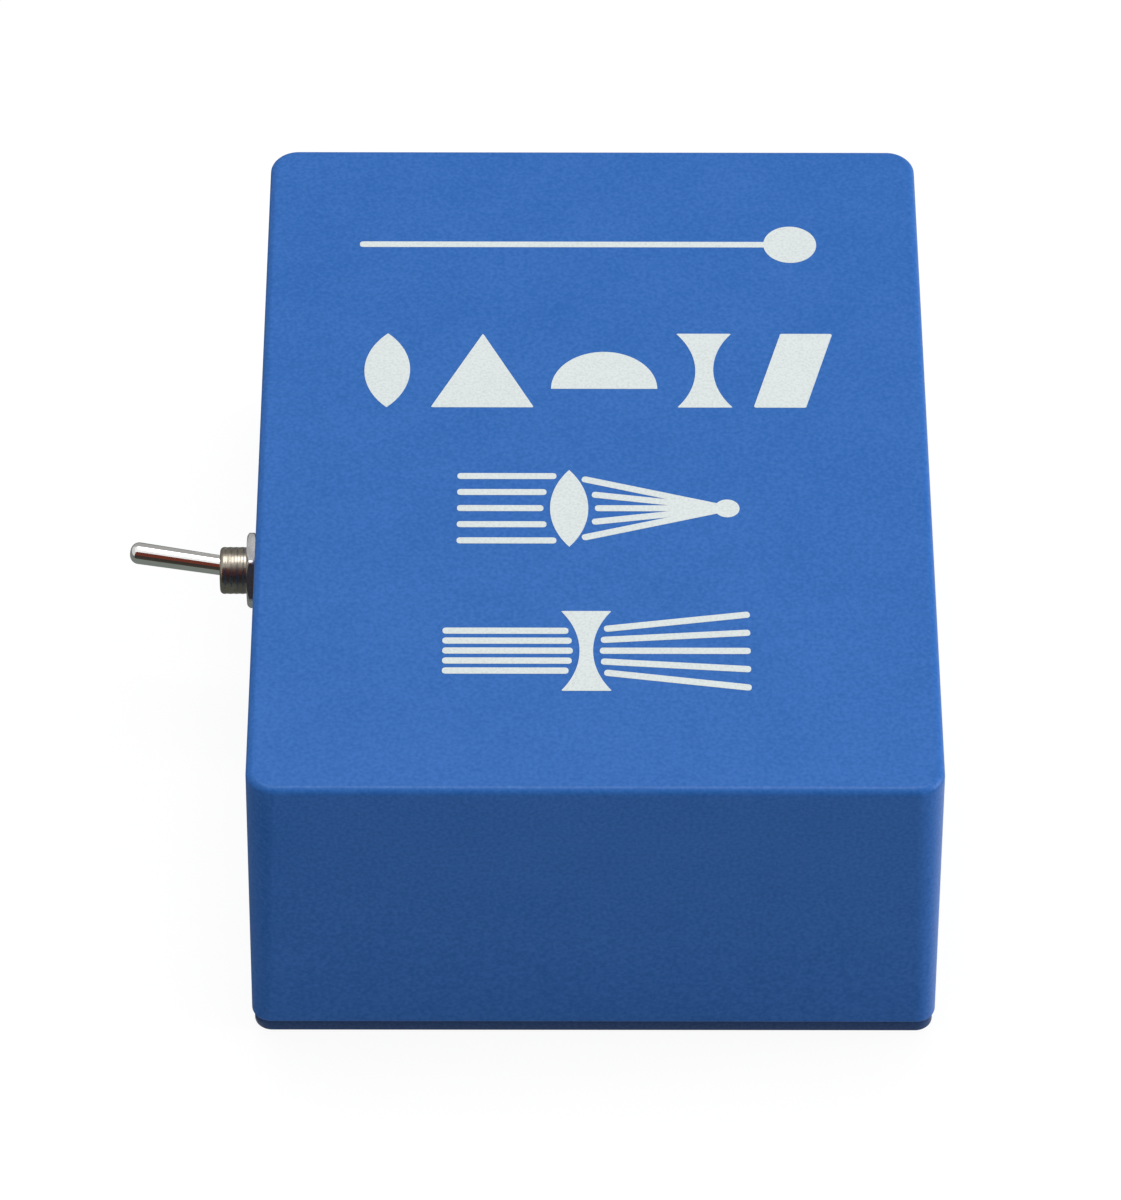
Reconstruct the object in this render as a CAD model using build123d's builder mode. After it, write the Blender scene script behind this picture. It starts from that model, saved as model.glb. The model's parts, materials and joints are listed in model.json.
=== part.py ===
from build123d import *

from math import cos, radians, sin, sqrt, tan
import os

# Five-beam optics ray box: a moulded case closed by a flat base cover. Behind its beam wall sits
# a block of five line-beam modules with their driver board, in the middle a holder for two cells,
# and in the opposite wall a miniature lever switch.
# The origin is the middle of the cover's underside. +Z is up, +X faces the beam wall, +Y the back.

os.makedirs("parts", exist_ok=True)

# ------------------------------------------------- driving dimensions (millimetres and degrees)

# Case
case_x = 82.0  # over the foot of the beam wall and the switch wall
case_y = 111.0  # over the foot of the front and the back wall
case_h = 42.5  # from the cover's underside to the top
wall_t = 2.2
top_t = 2.2
draft_angle = 0.5  # each wall leans inwards by this towards the top
corner_r = 3.5  # where the walls meet the top
foot_corner_r = 2.4  # of the same corners at the foot of the walls
inner_corner_r = 1.3
top_edge_r = 0.9
post_root = 1.0  # how far a moulded post runs into the top that it hangs from

# Base cover
cover_t = 2.0
cover_inset = 0.3  # the cover stands back from the foot of the walls by this
cover_edge_r = 0.3
cover_corner_r = 2.1
lip_t = 1.5
lip_h = 1.5
lip_clearance = 0.15
lip_end_gap = 3.0  # from a lip's end to the corner post beside it

# Fasteners
boss_r = 4.0  # corner posts
boss_to_wall = 3.6  # a corner post's axis, from the inner faces of its two walls
cover_screw_r = 1.45
cover_screw_head_r = 2.65
cover_screw_length = 9.8
screw_recess = 0.2  # a countersunk head lies this far below its surface
thread_clearance = 0.05  # between a screw and its pilot hole
through_clearance = 0.15  # between a screw and a plain hole
pilot_spare = 2.0  # a pilot hole is this much deeper than its screw
countersink_angle = 45.0  # half angle of a countersunk head
cross_arm_share = 1.1  # cross recess: length, width and depth as shares of the head's radius
cross_width_share = 0.28
cross_depth_share = 0.4

# Board magnets, in rings inside the cover
magnet_r = 5.0
magnet_t = 3.0
magnet_skin = 0.8  # cover left below a magnet
magnet_wall = 1.2
magnet_x = 26.0
magnet_y = 38.0
fit_clearance = 0.05  # between a piece and the seat that it drops into

# Beams and emitter block
beam_count = 5
beam_z = 16.0
aperture_r = 2.0
aperture_rim_r = 2.6
module_length = 14.0
barrel_r = 4.5
barrel_edge = 0.3
block_gap = 0.8  # block to the inner face of the beam wall, at its foot
block_end_gap = 2.7  # between the block's ends and the corner posts
block_margin = 7.0  # outermost beam to the block's end
block_h = 16.0
block_edge = 0.5
block_post_r = 3.5
block_screw_r = 1.45
block_screw_head_r = 2.75
block_screw_head_h = 3.0
block_screw_length = 20.0
block_socket_r = 1.45
block_socket_depth = 1.6
set_screw_r = 1.45
set_screw_socket_r = 0.86
set_screw_socket_depth = 1.5

# Line-beam module, its depths counted back from the barrel's front face
lens_bore_r = 3.0
lens_seat = 3.8
line_lens_t = 2.0
line_lens_edge_t = 1.2
ring_t = 1.2
ring_bore_r = 1.9
ring_slot_w = 0.8
ring_slot_depth = 0.5
land_t = 1.0
tube_bore_r = 2.3
collimator_t = 1.6
collimator_edge_t = 0.8
diode_seat = 10.7
diode_bore_r = 2.9
diode_flange_t = 1.2
diode_can_r = 2.15
diode_can_h = 2.4
pin_r = 0.225
pin_circle_r = 1.27
pin_stub = 0.9  # a pin stands this far out of the board

# Driver board and what is on it
board_t = 1.6
spacer_length = 2.0
spacer_r = 2.5
board_screw_r = 1.2
board_screw_head_r = 2.25
board_screw_head_h = 1.6
board_screw_grip = 6.0  # thread in the block
regulator_size = (1.5, 4.5, 2.5)
resistor_size = (0.6, 3.2, 1.6)
chip_offset = 4.6  # a regulator above and a resistor below each beam
capacitor_r = 3.15
capacitor_length = 6.2
capacitor_edge = 0.4
header_size = (6.0, 5.0, 4.5)
header_margin = 0.2
header_pitch = 2.54

# Battery holder and its two cells
holder_gap = 0.8  # between the holder's side and the capacitor's end
holder_h = 15.5
holder_wall = 1.4
holder_floor_t = 1.5
holder_corner_r = 1.0
holder_post_h = 5.0
holder_post_r = 3.5
holder_screw_r = 1.2
holder_screw_head_r = 2.2
holder_screw_length = 5.8
holder_screw_y = 14.0
holder_side_gap = 0.25  # cell to the holder's side
divider_t = 1.2
divider_h = 3.8
cell_r = 7.25
cell_body = 49.5
cell_edge = 0.6
cell_nub_r = 2.75
cell_nub_h = 1.0
cell_pitch = 15.0
cell_lift = 0.15  # cell to the holder's floor
contact_t = 0.3
contact_w = 10.0
contact_h = 11.0
spring_gap = 3.4
spring_wire_r = 0.3
spring_r = 3.0
spring_turns = 3
tab_w = 3.0
tab_t = 0.5
tab_stub = 2.2  # a solder tab stands this far out of the holder

# Leads
lead_r = 0.65
bend_share = 0.45  # share of its shorter run that a lead's bend takes up
lead_start = 2.4  # from a switch lug's tip to the lead's first bend

# Lever switch, on an axis along X
switch_rise = 0.3  # from the middle of the switch wall up to the axis
thread_r = 2.9
thread_pitch = 0.75
thread_depth = 0.08
bush_length = 8.15  # from the frame's outer face to the bush's face
bush_edge = 0.5
mouth_r = 2.25
throat_r = 1.75
throat_end = 2.4  # where the throat starts to open, from the pivot
spigot_r = 2.7
pivot_depth = 4.4  # pivot behind the bush's face
ball_r = 2.1
ball_clearance = 0.05
washer_gap = 0.05  # room for the wall's draft under a flat washer
lock_washer_t = 0.5
lock_washer_r = 5.0
lock_washer_ring = 1.3
lock_tooth_count = 12
lock_tooth_w = 0.8
nut_t = 1.2
nut_flats = 8.6
nut_chamfer_angle = 30.0
nut_turn = -3.0  # a corner stands this far off level
hexagon_turn = 30.0  # between a hexagon's corner and the middle of the next flat
locating_washer_r = 5.5
locating_washer_t = 0.8
frame_t = 0.8
frame_leg_t = 0.5
frame_tab = 1.2
switch_case_depth = 9.1
switch_case_y = 12.0
switch_case_z = 7.9
switch_cavity_y = 10.0
switch_cavity_z = 5.8
switch_floor_t = 2.0
lug_length = 4.5
lug_pitch = 4.7
lug_t = 0.8
lug_w = 2.0
lug_foot_t = 0.5
contact_dome_y = 3.6
contact_dome_r = 0.7
contact_gap = 0.03
fulcrum_r = 0.3
fulcrum_w = 2.4
rocker_angle = 7.0
rocker_reach = 4.6
rocker_w = 3.0
rocker_t = 0.4
rocker_gap = 0.05
lever_tilt = 11.5
lever_length = 15.9  # pivot to tip
lever_tip_r = 1.35
lever_tip_round_r = 1.05  # rounding between the handle and its flat end
lever_neck_r = 1.2
lever_pin_r = 0.4
skirt_r = 1.15
skirt_length = 5.6
plunger_bore_r = 0.75
plunger_bore_end = 1.4
plunger_r = 0.7
plunger_length = 4.3
plunger_reach = 8.2  # pivot to the plunger's tip
plunger_gap = 0.08
plunger_spring_r = 0.48
plunger_spring_wire_r = 0.12
plunger_spring_turns = 5

# ------------------------------------------------------------------------- places worked out once

ceiling_z = case_h - top_t
inner_x = case_x / 2 - wall_t
inner_y = case_y / 2 - wall_t
boss_x = inner_x - boss_to_wall
boss_y = inner_y - boss_to_wall
corner_points = [(sx * boss_x, sy * boss_y) for sx in (-1, 1) for sy in (-1, 1)]
magnet_points = [(sx * magnet_x, sy * magnet_y) for sx in (-1, 1) for sy in (-1, 1)]

block_y = 2 * (boss_y - boss_r - block_end_gap)
beam_pitch = (block_y - 2 * block_margin) / (beam_count - 1)
beam_ys = [(i - (beam_count - 1) / 2) * beam_pitch for i in range(beam_count)]
beam_points = [(y, beam_z) for y in beam_ys]
block_front_x = inner_x - block_gap
block_back_x = block_front_x - module_length
block_mid_x = block_front_x - module_length / 2
block_bottom_z = beam_z - block_h / 2
block_top_z = beam_z + block_h / 2
block_screw_y = (beam_count - 2) / 2 * beam_pitch
block_screw_points = [(block_mid_x, -block_screw_y), (block_mid_x, block_screw_y)]
block_screw_seat_z = block_bottom_z + screw_recess + block_screw_head_h

lens_r = lens_bore_r - fit_clearance
land_end = lens_seat + land_t
land_r = ring_bore_r
diode_back = diode_seat + diode_flange_t
board_front_x = block_back_x - spacer_length
board_back_x = board_front_x - board_t
board_screw_points = [(-beam_pitch / 2, beam_z), (beam_pitch / 2, beam_z)]
header_y = block_y / 2 - header_size[1] / 2 - header_margin
header_inner_y = header_y - header_pitch / 2
header_outer_y = header_y + header_pitch / 2
header_face_x = board_back_x - header_size[0]

holder_top_z = ceiling_z - holder_post_h
holder_mouth_z = holder_top_z - holder_h
holder_floor_z = holder_top_z - holder_floor_t
cell_z = holder_floor_z - cell_lift - cell_r
cell_length = cell_body + cell_nub_h
cell_bay_y = (cell_length + spring_gap) / 2 + contact_t  # from the middle to an end wall's face
holder_l = 2 * (cell_bay_y + holder_wall)
holder_w = cell_pitch + 2 * (cell_r + holder_side_gap + holder_wall)
holder_x = board_back_x - capacitor_length - holder_gap - holder_w / 2
left_cell_x = holder_x - cell_pitch / 2
right_cell_x = holder_x + cell_pitch / 2
holder_screw_points = [(left_cell_x, -holder_screw_y), (right_cell_x, holder_screw_y)]
tab_end_y = holder_l / 2 + tab_stub

switch_z = (cover_t + case_h) / 2 + switch_rise
wall_lean = (switch_z - cover_t) * tan(radians(draft_angle))
washer_face_x = -(case_x / 2 - wall_lean) - washer_gap
nut_face_x = washer_face_x - lock_washer_t
spacer_face_x = -(inner_x - wall_lean) + washer_gap
frame_face_x = spacer_face_x + locating_washer_t
case_face_x = frame_face_x + frame_t
case_floor_x = case_face_x + switch_case_depth - switch_floor_t
case_back_x = case_face_x + switch_case_depth
lug_tip_x = case_back_x + lug_length
pivot_x = frame_face_x - bush_length + pivot_depth
rocker_axis_x = pivot_x + plunger_reach + plunger_gap + rocker_t


# ------------------------------------------------------------------------------ shared shapes


def countersunk_hole(points, face_z, head_r, hole_r, depth):
    """Solids to cut: a countersink for a head of head_r, opening downwards, and its plain hole."""
    rim_r = head_r + screw_recess
    with BuildPart(mode=Mode.PRIVATE) as cutter:
        with BuildSketch(Plane.XY.offset(face_z)):
            with Locations(*points):
                Circle(rim_r)
        extrude(amount=rim_r - hole_r, taper=countersink_angle)
        with BuildSketch(Plane.XY.offset(face_z)):
            with Locations(*points):
                Circle(hole_r)
        extrude(amount=depth)
    return cutter.part


def countersunk_screws(points, face_z, head_r, shank_r, length):
    """Cross-recessed screws, one solid at each point, their heads sunk into the face at face_z."""
    head_z = face_z + screw_recess
    with BuildPart(mode=Mode.PRIVATE) as screws:
        with BuildSketch(Plane.XY.offset(head_z)):
            with Locations(*points):
                Circle(head_r)
        extrude(amount=head_r - shank_r, taper=countersink_angle)
        with BuildSketch(Plane.XY.offset(head_z)):
            with Locations(*points):
                Circle(shank_r)
        extrude(amount=length)
        with BuildSketch(Plane.XY.offset(head_z)):
            with Locations(*points):
                Rectangle(cross_arm_share * head_r, cross_width_share * head_r)
                Rectangle(cross_width_share * head_r, cross_arm_share * head_r)
        extrude(amount=cross_depth_share * head_r, mode=Mode.SUBTRACT)
    return screws.part


def beam_section(y):
    """Plane through one beam: local x runs back from the barrel's front face, local y is up."""
    return Plane(origin=(block_front_x, y, beam_z), x_dir=(-1, 0, 0), z_dir=(0, 1, 0))


def switch_section(tilt=0.0):
    """Plane through the switch: local x runs outwards from the pivot, turned by tilt towards +Y."""
    outwards = (-cos(radians(tilt)), sin(radians(tilt)), 0)
    sideways = (sin(radians(tilt)), cos(radians(tilt)), 0)
    return Plane(origin=(pivot_x, 0, switch_z), x_dir=outwards, z_dir=sideways)


def cell(x, nub_way):
    """One dry cell at x, its terminal nub pointing along +Y (nub_way 1) or -Y (nub_way -1)."""
    base_y = -nub_way * (cell_bay_y - contact_t - spring_gap)
    along = Plane(origin=(x, base_y, cell_z), x_dir=(0, nub_way, 0), z_dir=(nub_way, 0, 0))
    with BuildPart(mode=Mode.PRIVATE) as dry_cell:
        with BuildSketch(along):
            with BuildLine():
                Polyline(
                    (0, 0),
                    (0, cell_r - cell_edge),
                    (cell_edge, cell_r),
                    (cell_body - cell_edge, cell_r),
                    (cell_body, cell_r - cell_edge),
                    (cell_body, cell_nub_r),
                    (cell_length, cell_nub_r),
                    (cell_length, 0),
                    close=True,
                )
            make_face()
        revolve(axis=Axis(along.origin, along.x_dir))
    return dry_cell.part


def coil(seat, way, radius, wire_r, height, turns):
    """A helical spring that stands on the point seat and rises by height in the direction way."""
    rise = height - 2 * wire_r
    foot = Vector(seat) + Vector(way) * wire_r
    with BuildPart(mode=Mode.PRIVATE) as spring:
        with BuildLine():
            path = Helix(rise / turns, rise, radius, center=foot, direction=way)
        with BuildSketch(Plane(origin=path @ 0, z_dir=path % 0)):
            Circle(wire_r)
        sweep(path=path, is_frenet=True)
    return spring.part


def lead(name, points):
    """An insulated lead along a chain of points, each corner as round as its runs allow."""
    corners = [Vector(*point) for point in points]
    radii = []
    for before, corner, after in zip(corners, corners[1:], corners[2:]):
        turn = (corner - before).get_angle(after - corner)
        shorter = min((corner - before).length, (after - corner).length)
        radii.append(bend_share * shorter / tan(radians(turn / 2)))
    with BuildPart(mode=Mode.PRIVATE) as wire:
        with BuildLine():
            path = FilletPolyline(*corners, radius=radii)
        with BuildSketch(Plane(origin=path @ 0, z_dir=path % 0)) as section:
            Circle(lead_r)
        sweep(path=path)
    share = wire.part.volume / (section.sketch.area * path.length)
    print(name, "radii", [round(r, 1) for r in radii], "volume share", round(share, 4))
    return wire.part


# -------------------------------------------------------------------------------- case and cover

top_lean = (case_h - cover_t) * tan(radians(draft_angle))
with BuildPart() as housing:
    with BuildSketch(Plane.XY.offset(cover_t)):
        RectangleRounded(case_x, case_y, foot_corner_r)
    with BuildSketch(Plane.XY.offset(case_h)):
        RectangleRounded(case_x - 2 * top_lean, case_y - 2 * top_lean, corner_r)
    loft(ruled=True)
    fillet(housing.faces().sort_by(Axis.Z)[-1].edges(), top_edge_r)
    with BuildSketch(Plane.XY.offset(cover_t)):
        RectangleRounded(2 * inner_x, 2 * inner_y, inner_corner_r)
    extrude(amount=ceiling_z - cover_t, taper=draft_angle, mode=Mode.SUBTRACT)
    # Posts that hang from the top: cover screws, emitter block, battery holder
    with BuildSketch(Plane.XY.offset(cover_t)):
        with Locations(*corner_points):
            Circle(boss_r)
    extrude(amount=ceiling_z - cover_t + post_root)
    with BuildSketch(Plane.XY.offset(block_top_z)):
        with Locations(*block_screw_points):
            Circle(block_post_r)
    extrude(amount=ceiling_z - block_top_z + post_root)
    with BuildSketch(Plane.XY.offset(holder_top_z)):
        with Locations(*holder_screw_points):
            Circle(holder_post_r)
    extrude(amount=holder_post_h + post_root)
    # Their pilot holes
    with BuildSketch(Plane.XY.offset(cover_t)):
        with Locations(*corner_points):
            Circle(cover_screw_r + thread_clearance)
    extrude(amount=cover_screw_length + pilot_spare, mode=Mode.SUBTRACT)
    with BuildSketch(Plane.XY.offset(block_top_z)):
        with Locations(*block_screw_points):
            Circle(block_screw_r + thread_clearance)
    block_pilot = block_screw_seat_z + block_screw_length + pilot_spare - block_top_z
    extrude(amount=block_pilot, mode=Mode.SUBTRACT)
    with BuildSketch(Plane.XY.offset(holder_top_z)):
        with Locations(*holder_screw_points):
            Circle(holder_screw_r + thread_clearance)
    holder_pilot = screw_recess + holder_screw_length + thread_clearance - holder_floor_t
    extrude(amount=holder_pilot, mode=Mode.SUBTRACT)
    # Beam apertures, with a small outer rim, and the switch hole
    for beam_y in beam_ys:
        beam_lean = (beam_z - cover_t) * tan(radians(draft_angle))
        with Locations(Plane(origin=(case_x / 2 - beam_lean, beam_y, beam_z), z_dir=(1, 0, 0))):
            CounterSinkHole(
                aperture_r,
                aperture_rim_r,
                depth=2 * wall_t,
                counter_sink_angle=2 * countersink_angle,
            )
    with BuildSketch(Plane.YZ.offset(-case_x / 2)):
        with Locations((0, switch_z)):
            Circle(thread_r + through_clearance)
    extrude(amount=2 * wall_t, mode=Mode.SUBTRACT)
housing.part.label = "housing"
export_step(housing.part, "parts/housing.step")

with BuildPart() as base_cover:
    with BuildSketch():
        RectangleRounded(case_x - 2 * cover_inset, case_y - 2 * cover_inset, cover_corner_r)
    extrude(amount=cover_t)
    fillet(base_cover.faces().sort_by(Axis.Z)[0].edges(), cover_edge_r)
    # Locating lips along the four walls, between the corner posts
    lip_x = inner_x - lip_clearance - lip_t / 2
    lip_y = inner_y - lip_clearance - lip_t / 2
    with BuildSketch(Plane.XY.offset(cover_t)):
        with Locations((0, -lip_y), (0, lip_y)):
            Rectangle(2 * (boss_x - boss_r - lip_end_gap), lip_t)
        with Locations((-lip_x, 0), (lip_x, 0)):
            Rectangle(lip_t, 2 * (boss_y - boss_r - lip_end_gap))
    extrude(amount=lip_h)
    # Magnet rings
    with BuildSketch(Plane.XY.offset(cover_t)):
        with Locations(*magnet_points):
            Circle(magnet_r + magnet_wall)
    extrude(amount=magnet_skin + magnet_t - cover_t)
    with BuildSketch(Plane.XY.offset(magnet_skin)):
        with Locations(*magnet_points):
            Circle(magnet_r + fit_clearance)
    extrude(amount=magnet_t, mode=Mode.SUBTRACT)
    cover_hole_r = cover_screw_r + through_clearance
    add(
        countersunk_hole(corner_points, 0, cover_screw_head_r, cover_hole_r, cover_t),
        mode=Mode.SUBTRACT,
    )
base_cover.part.label = "base_cover"
export_step(base_cover.part, "parts/base_cover.step")

with BuildPart() as cover_screws:
    add(
        countersunk_screws(
            corner_points, 0, cover_screw_head_r, cover_screw_r, cover_screw_length
        )
    )
cover_screws.part.label = "cover_screws"
export_step(cover_screws.part, "parts/cover_screws.step")

with BuildPart() as board_magnets:
    with BuildSketch(Plane.XY.offset(magnet_skin)):
        with Locations(*magnet_points):
            Circle(magnet_r)
    extrude(amount=magnet_t)
board_magnets.part.label = "board_magnets"
export_step(board_magnets.part, "parts/board_magnets.step")

# ----------------------------------------------------------------------- emitter block and modules

with BuildPart() as emitter_block:
    with BuildSketch(Plane.XY.offset(block_bottom_z)):
        with Locations((block_mid_x, 0)):
            Rectangle(module_length, block_y)
    extrude(amount=block_h)
    chamfer(emitter_block.edges().filter_by(Axis.Y), block_edge)
    with BuildSketch(Plane.YZ.offset(block_back_x)):
        with Locations(*beam_points):
            Circle(barrel_r + fit_clearance)
    extrude(amount=module_length, mode=Mode.SUBTRACT)
    # Mounting screws from below, with sunk heads
    with BuildSketch(Plane.XY.offset(block_bottom_z)):
        with Locations(*block_screw_points):
            Circle(block_screw_head_r + through_clearance)
    extrude(amount=screw_recess + block_screw_head_h, mode=Mode.SUBTRACT)
    with BuildSketch(Plane.XY.offset(block_bottom_z)):
        with Locations(*block_screw_points):
            Circle(block_screw_r + through_clearance)
    extrude(amount=block_h, mode=Mode.SUBTRACT)
    # Set screws from below into each bore
    with BuildSketch(Plane.XY.offset(block_bottom_z)):
        with Locations(*[(block_mid_x, y) for y in beam_ys]):
            Circle(set_screw_r + thread_clearance)
    extrude(amount=block_h / 2, mode=Mode.SUBTRACT)
    # Board screws from the back
    with BuildSketch(Plane.YZ.offset(block_back_x)):
        with Locations(*board_screw_points):
            Circle(board_screw_r + thread_clearance)
    extrude(amount=board_screw_grip + pilot_spare, mode=Mode.SUBTRACT)
emitter_block.part.label = "emitter_block"
export_step(emitter_block.part, "parts/emitter_block.step")

with BuildPart() as emitter_block_screws:
    with BuildSketch(Plane.XY.offset(block_bottom_z + screw_recess)):
        with Locations(*block_screw_points):
            Circle(block_screw_head_r)
    extrude(amount=block_screw_head_h)
    with BuildSketch(Plane.XY.offset(block_screw_seat_z)):
        with Locations(*block_screw_points):
            Circle(block_screw_r)
    extrude(amount=block_screw_length)
    with BuildSketch(Plane.XY.offset(block_bottom_z + screw_recess)):
        with Locations(*block_screw_points):
            RegularPolygon(block_socket_r, 6)
    extrude(amount=block_socket_depth, mode=Mode.SUBTRACT)
emitter_block_screws.part.label = "emitter_block_screws"
export_step(emitter_block_screws.part, "parts/emitter_block_screws.step")

with BuildPart() as barrel_set_screws:
    with BuildSketch(Plane.XY.offset(block_bottom_z)):
        with Locations(*[(block_mid_x, y) for y in beam_ys]):
            Circle(set_screw_r)
    extrude(amount=block_h / 2 - barrel_r - fit_clearance)
    with BuildSketch(Plane.XY.offset(block_bottom_z)):
        with Locations(*[(block_mid_x, y) for y in beam_ys]):
            RegularPolygon(set_screw_socket_r, 6)
    extrude(amount=set_screw_socket_depth, mode=Mode.SUBTRACT)
barrel_set_screws.part.label = "barrel_set_screws"
export_step(barrel_set_screws.part, "parts/barrel_set_screws.step")

for number, beam_y in enumerate(beam_ys, start=1):
    section = beam_section(beam_y)
    beam_axis = Axis(section.origin, section.x_dir)

    # Brass barrel: front bore for the line lens, a land, and a stepped rear bore for the diode
    with BuildPart() as laser_barrel:
        with BuildSketch(section):
            with BuildLine():
                Polyline(
                    (0, lens_bore_r),
                    (0, barrel_r - barrel_edge),
                    (barrel_edge, barrel_r),
                    (module_length - barrel_edge, barrel_r),
                    (module_length, barrel_r - barrel_edge),
                    (module_length, diode_bore_r),
                    (diode_seat, diode_bore_r),
                    (diode_seat, tube_bore_r),
                    (land_end, tube_bore_r),
                    (land_end, land_r),
                    (lens_seat, land_r),
                    (lens_seat, lens_bore_r),
                    close=True,
                )
            make_face()
        revolve(axis=beam_axis)
    laser_barrel.part.label = f"laser_barrel_{number}"
    export_step(laser_barrel.part, f"parts/laser_barrel_{number}.step")

    # Laser diode: flange on the rear step, can forwards, three pins back through the board
    with BuildPart() as laser_diode:
        with BuildSketch(section):
            with BuildLine():
                Polyline(
                    (diode_seat - diode_can_h, 0),
                    (diode_seat - diode_can_h, diode_can_r),
                    (diode_seat, diode_can_r),
                    (diode_seat, diode_bore_r - fit_clearance),
                    (diode_back, diode_bore_r - fit_clearance),
                    (diode_back, 0),
                    close=True,
                )
            make_face()
        revolve(axis=beam_axis)
        with BuildSketch(Plane.YZ.offset(board_back_x - pin_stub)):
            with Locations((beam_y, beam_z)):
                with Locations((-pin_circle_r, 0), (pin_circle_r, 0), (0, -pin_circle_r)):
                    Circle(pin_r)
        extrude(amount=block_front_x - diode_back - board_back_x + pin_stub)
    laser_diode.part.label = f"laser_diode_{number}"
    export_step(laser_diode.part, f"parts/laser_diode_{number}.step")

    # Collimator: flat against the land, domed towards the diode
    with BuildPart() as collimator_lens:
        with BuildSketch(section):
            with BuildLine():
                Polyline(
                    (land_end + collimator_t, 0),
                    (land_end, 0),
                    (land_end, tube_bore_r - fit_clearance),
                    (land_end + collimator_edge_t, tube_bore_r - fit_clearance),
                )
                TangentArc(
                    (land_end + collimator_t, 0),
                    (land_end + collimator_edge_t, tube_bore_r - fit_clearance),
                    tangent=(0, 1),
                )
            make_face()
        revolve(axis=beam_axis)
    collimator_lens.part.label = f"collimator_lens_{number}"
    export_step(collimator_lens.part, f"parts/collimator_lens_{number}.step")

    # Line lens: a disc whose front is curved up and down only, which spreads the beam upright
    with BuildPart() as line_lens:
        with BuildSketch(Plane.YZ.offset(block_front_x - lens_seat)):
            with Locations((beam_y, beam_z)):
                Circle(lens_r)
        extrude(amount=line_lens_t)
        with BuildSketch(section):
            with BuildLine():
                ThreePointArc(
                    (lens_seat - line_lens_edge_t, -lens_r),
                    (lens_seat - line_lens_t, 0),
                    (lens_seat - line_lens_edge_t, lens_r),
                )
                Polyline(
                    (lens_seat - line_lens_edge_t, lens_r),
                    (lens_seat, lens_r),
                    (lens_seat, -lens_r),
                    (lens_seat - line_lens_edge_t, -lens_r),
                )
            make_face()
        extrude(amount=lens_r, both=True, mode=Mode.INTERSECT)
    line_lens.part.label = f"line_lens_{number}"
    export_step(line_lens.part, f"parts/line_lens_{number}.step")

with BuildPart() as lens_retaining_rings:
    ring_back_x = block_front_x - lens_seat + line_lens_t
    with BuildSketch(Plane.YZ.offset(ring_back_x)):
        with Locations(*beam_points):
            Circle(lens_r)
            Circle(ring_bore_r, mode=Mode.SUBTRACT)
    extrude(amount=ring_t)
    with BuildSketch(Plane.YZ.offset(ring_back_x + ring_t - ring_slot_depth)):
        with Locations(*beam_points):
            Rectangle(2 * lens_r, ring_slot_w)
    extrude(amount=ring_slot_depth, mode=Mode.SUBTRACT)
lens_retaining_rings.part.label = "lens_retaining_rings"
export_step(lens_retaining_rings.part, "parts/lens_retaining_rings.step")

# --------------------------------------------------------------------------------- driver board

with BuildPart() as driver_board:
    with BuildSketch(Plane.YZ.offset(board_back_x)):
        with Locations((0, beam_z)):
            Rectangle(block_y, block_h)
        with Locations(*board_screw_points):
            Circle(board_screw_r + through_clearance, mode=Mode.SUBTRACT)
        with Locations(*beam_points):
            with Locations((-pin_circle_r, 0), (pin_circle_r, 0), (0, -pin_circle_r)):
                Circle(pin_r + fit_clearance, mode=Mode.SUBTRACT)
    extrude(amount=board_t)
driver_board.part.label = "driver_board"
export_step(driver_board.part, "parts/driver_board.step")

with BuildPart() as board_spacers:
    with BuildSketch(Plane.YZ.offset(board_front_x)):
        with Locations(*board_screw_points):
            Circle(spacer_r)
            Circle(board_screw_r + through_clearance, mode=Mode.SUBTRACT)
    extrude(amount=spacer_length)
board_spacers.part.label = "board_spacers"
export_step(board_spacers.part, "parts/board_spacers.step")

with BuildPart() as board_screws:
    with BuildSketch(Plane.YZ.offset(board_back_x - board_screw_head_h)):
        with Locations(*board_screw_points):
            Circle(board_screw_head_r)
    extrude(amount=board_screw_head_h)
    with BuildSketch(Plane.YZ.offset(board_back_x)):
        with Locations(*board_screw_points):
            Circle(board_screw_r)
    extrude(amount=board_t + spacer_length + board_screw_grip)
    with BuildSketch(Plane.YZ.offset(board_back_x - board_screw_head_h)):
        with Locations(*board_screw_points):
            Rectangle(cross_arm_share * board_screw_head_r, cross_width_share * board_screw_head_r)
            Rectangle(cross_width_share * board_screw_head_r, cross_arm_share * board_screw_head_r)
    extrude(amount=cross_depth_share * board_screw_head_r, mode=Mode.SUBTRACT)
board_screws.part.label = "board_screws"
export_step(board_screws.part, "parts/board_screws.step")

with BuildPart() as current_regulators:
    with BuildSketch(Plane.YZ.offset(board_back_x - regulator_size[0])):
        with Locations(*[(y, beam_z + chip_offset) for y in beam_ys]):
            Rectangle(regulator_size[1], regulator_size[2])
    extrude(amount=regulator_size[0])
current_regulators.part.label = "current_regulators"
export_step(current_regulators.part, "parts/current_regulators.step")

with BuildPart() as set_resistors:
    with BuildSketch(Plane.YZ.offset(board_back_x - resistor_size[0])):
        with Locations(*[(y, beam_z - chip_offset) for y in beam_ys]):
            Rectangle(resistor_size[1], resistor_size[2])
    extrude(amount=resistor_size[0])
set_resistors.part.label = "set_resistors"
export_step(set_resistors.part, "parts/set_resistors.step")

with BuildPart() as supply_capacitor:
    with BuildSketch(Plane.YZ.offset(board_back_x - capacitor_length)):
        with Locations((-block_screw_y, beam_z)):
            Circle(capacitor_r)
    extrude(amount=capacitor_length)
    fillet(supply_capacitor.faces().sort_by(Axis.X)[0].edges(), capacitor_edge)
supply_capacitor.part.label = "supply_capacitor"
export_step(supply_capacitor.part, "parts/supply_capacitor.step")

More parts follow.
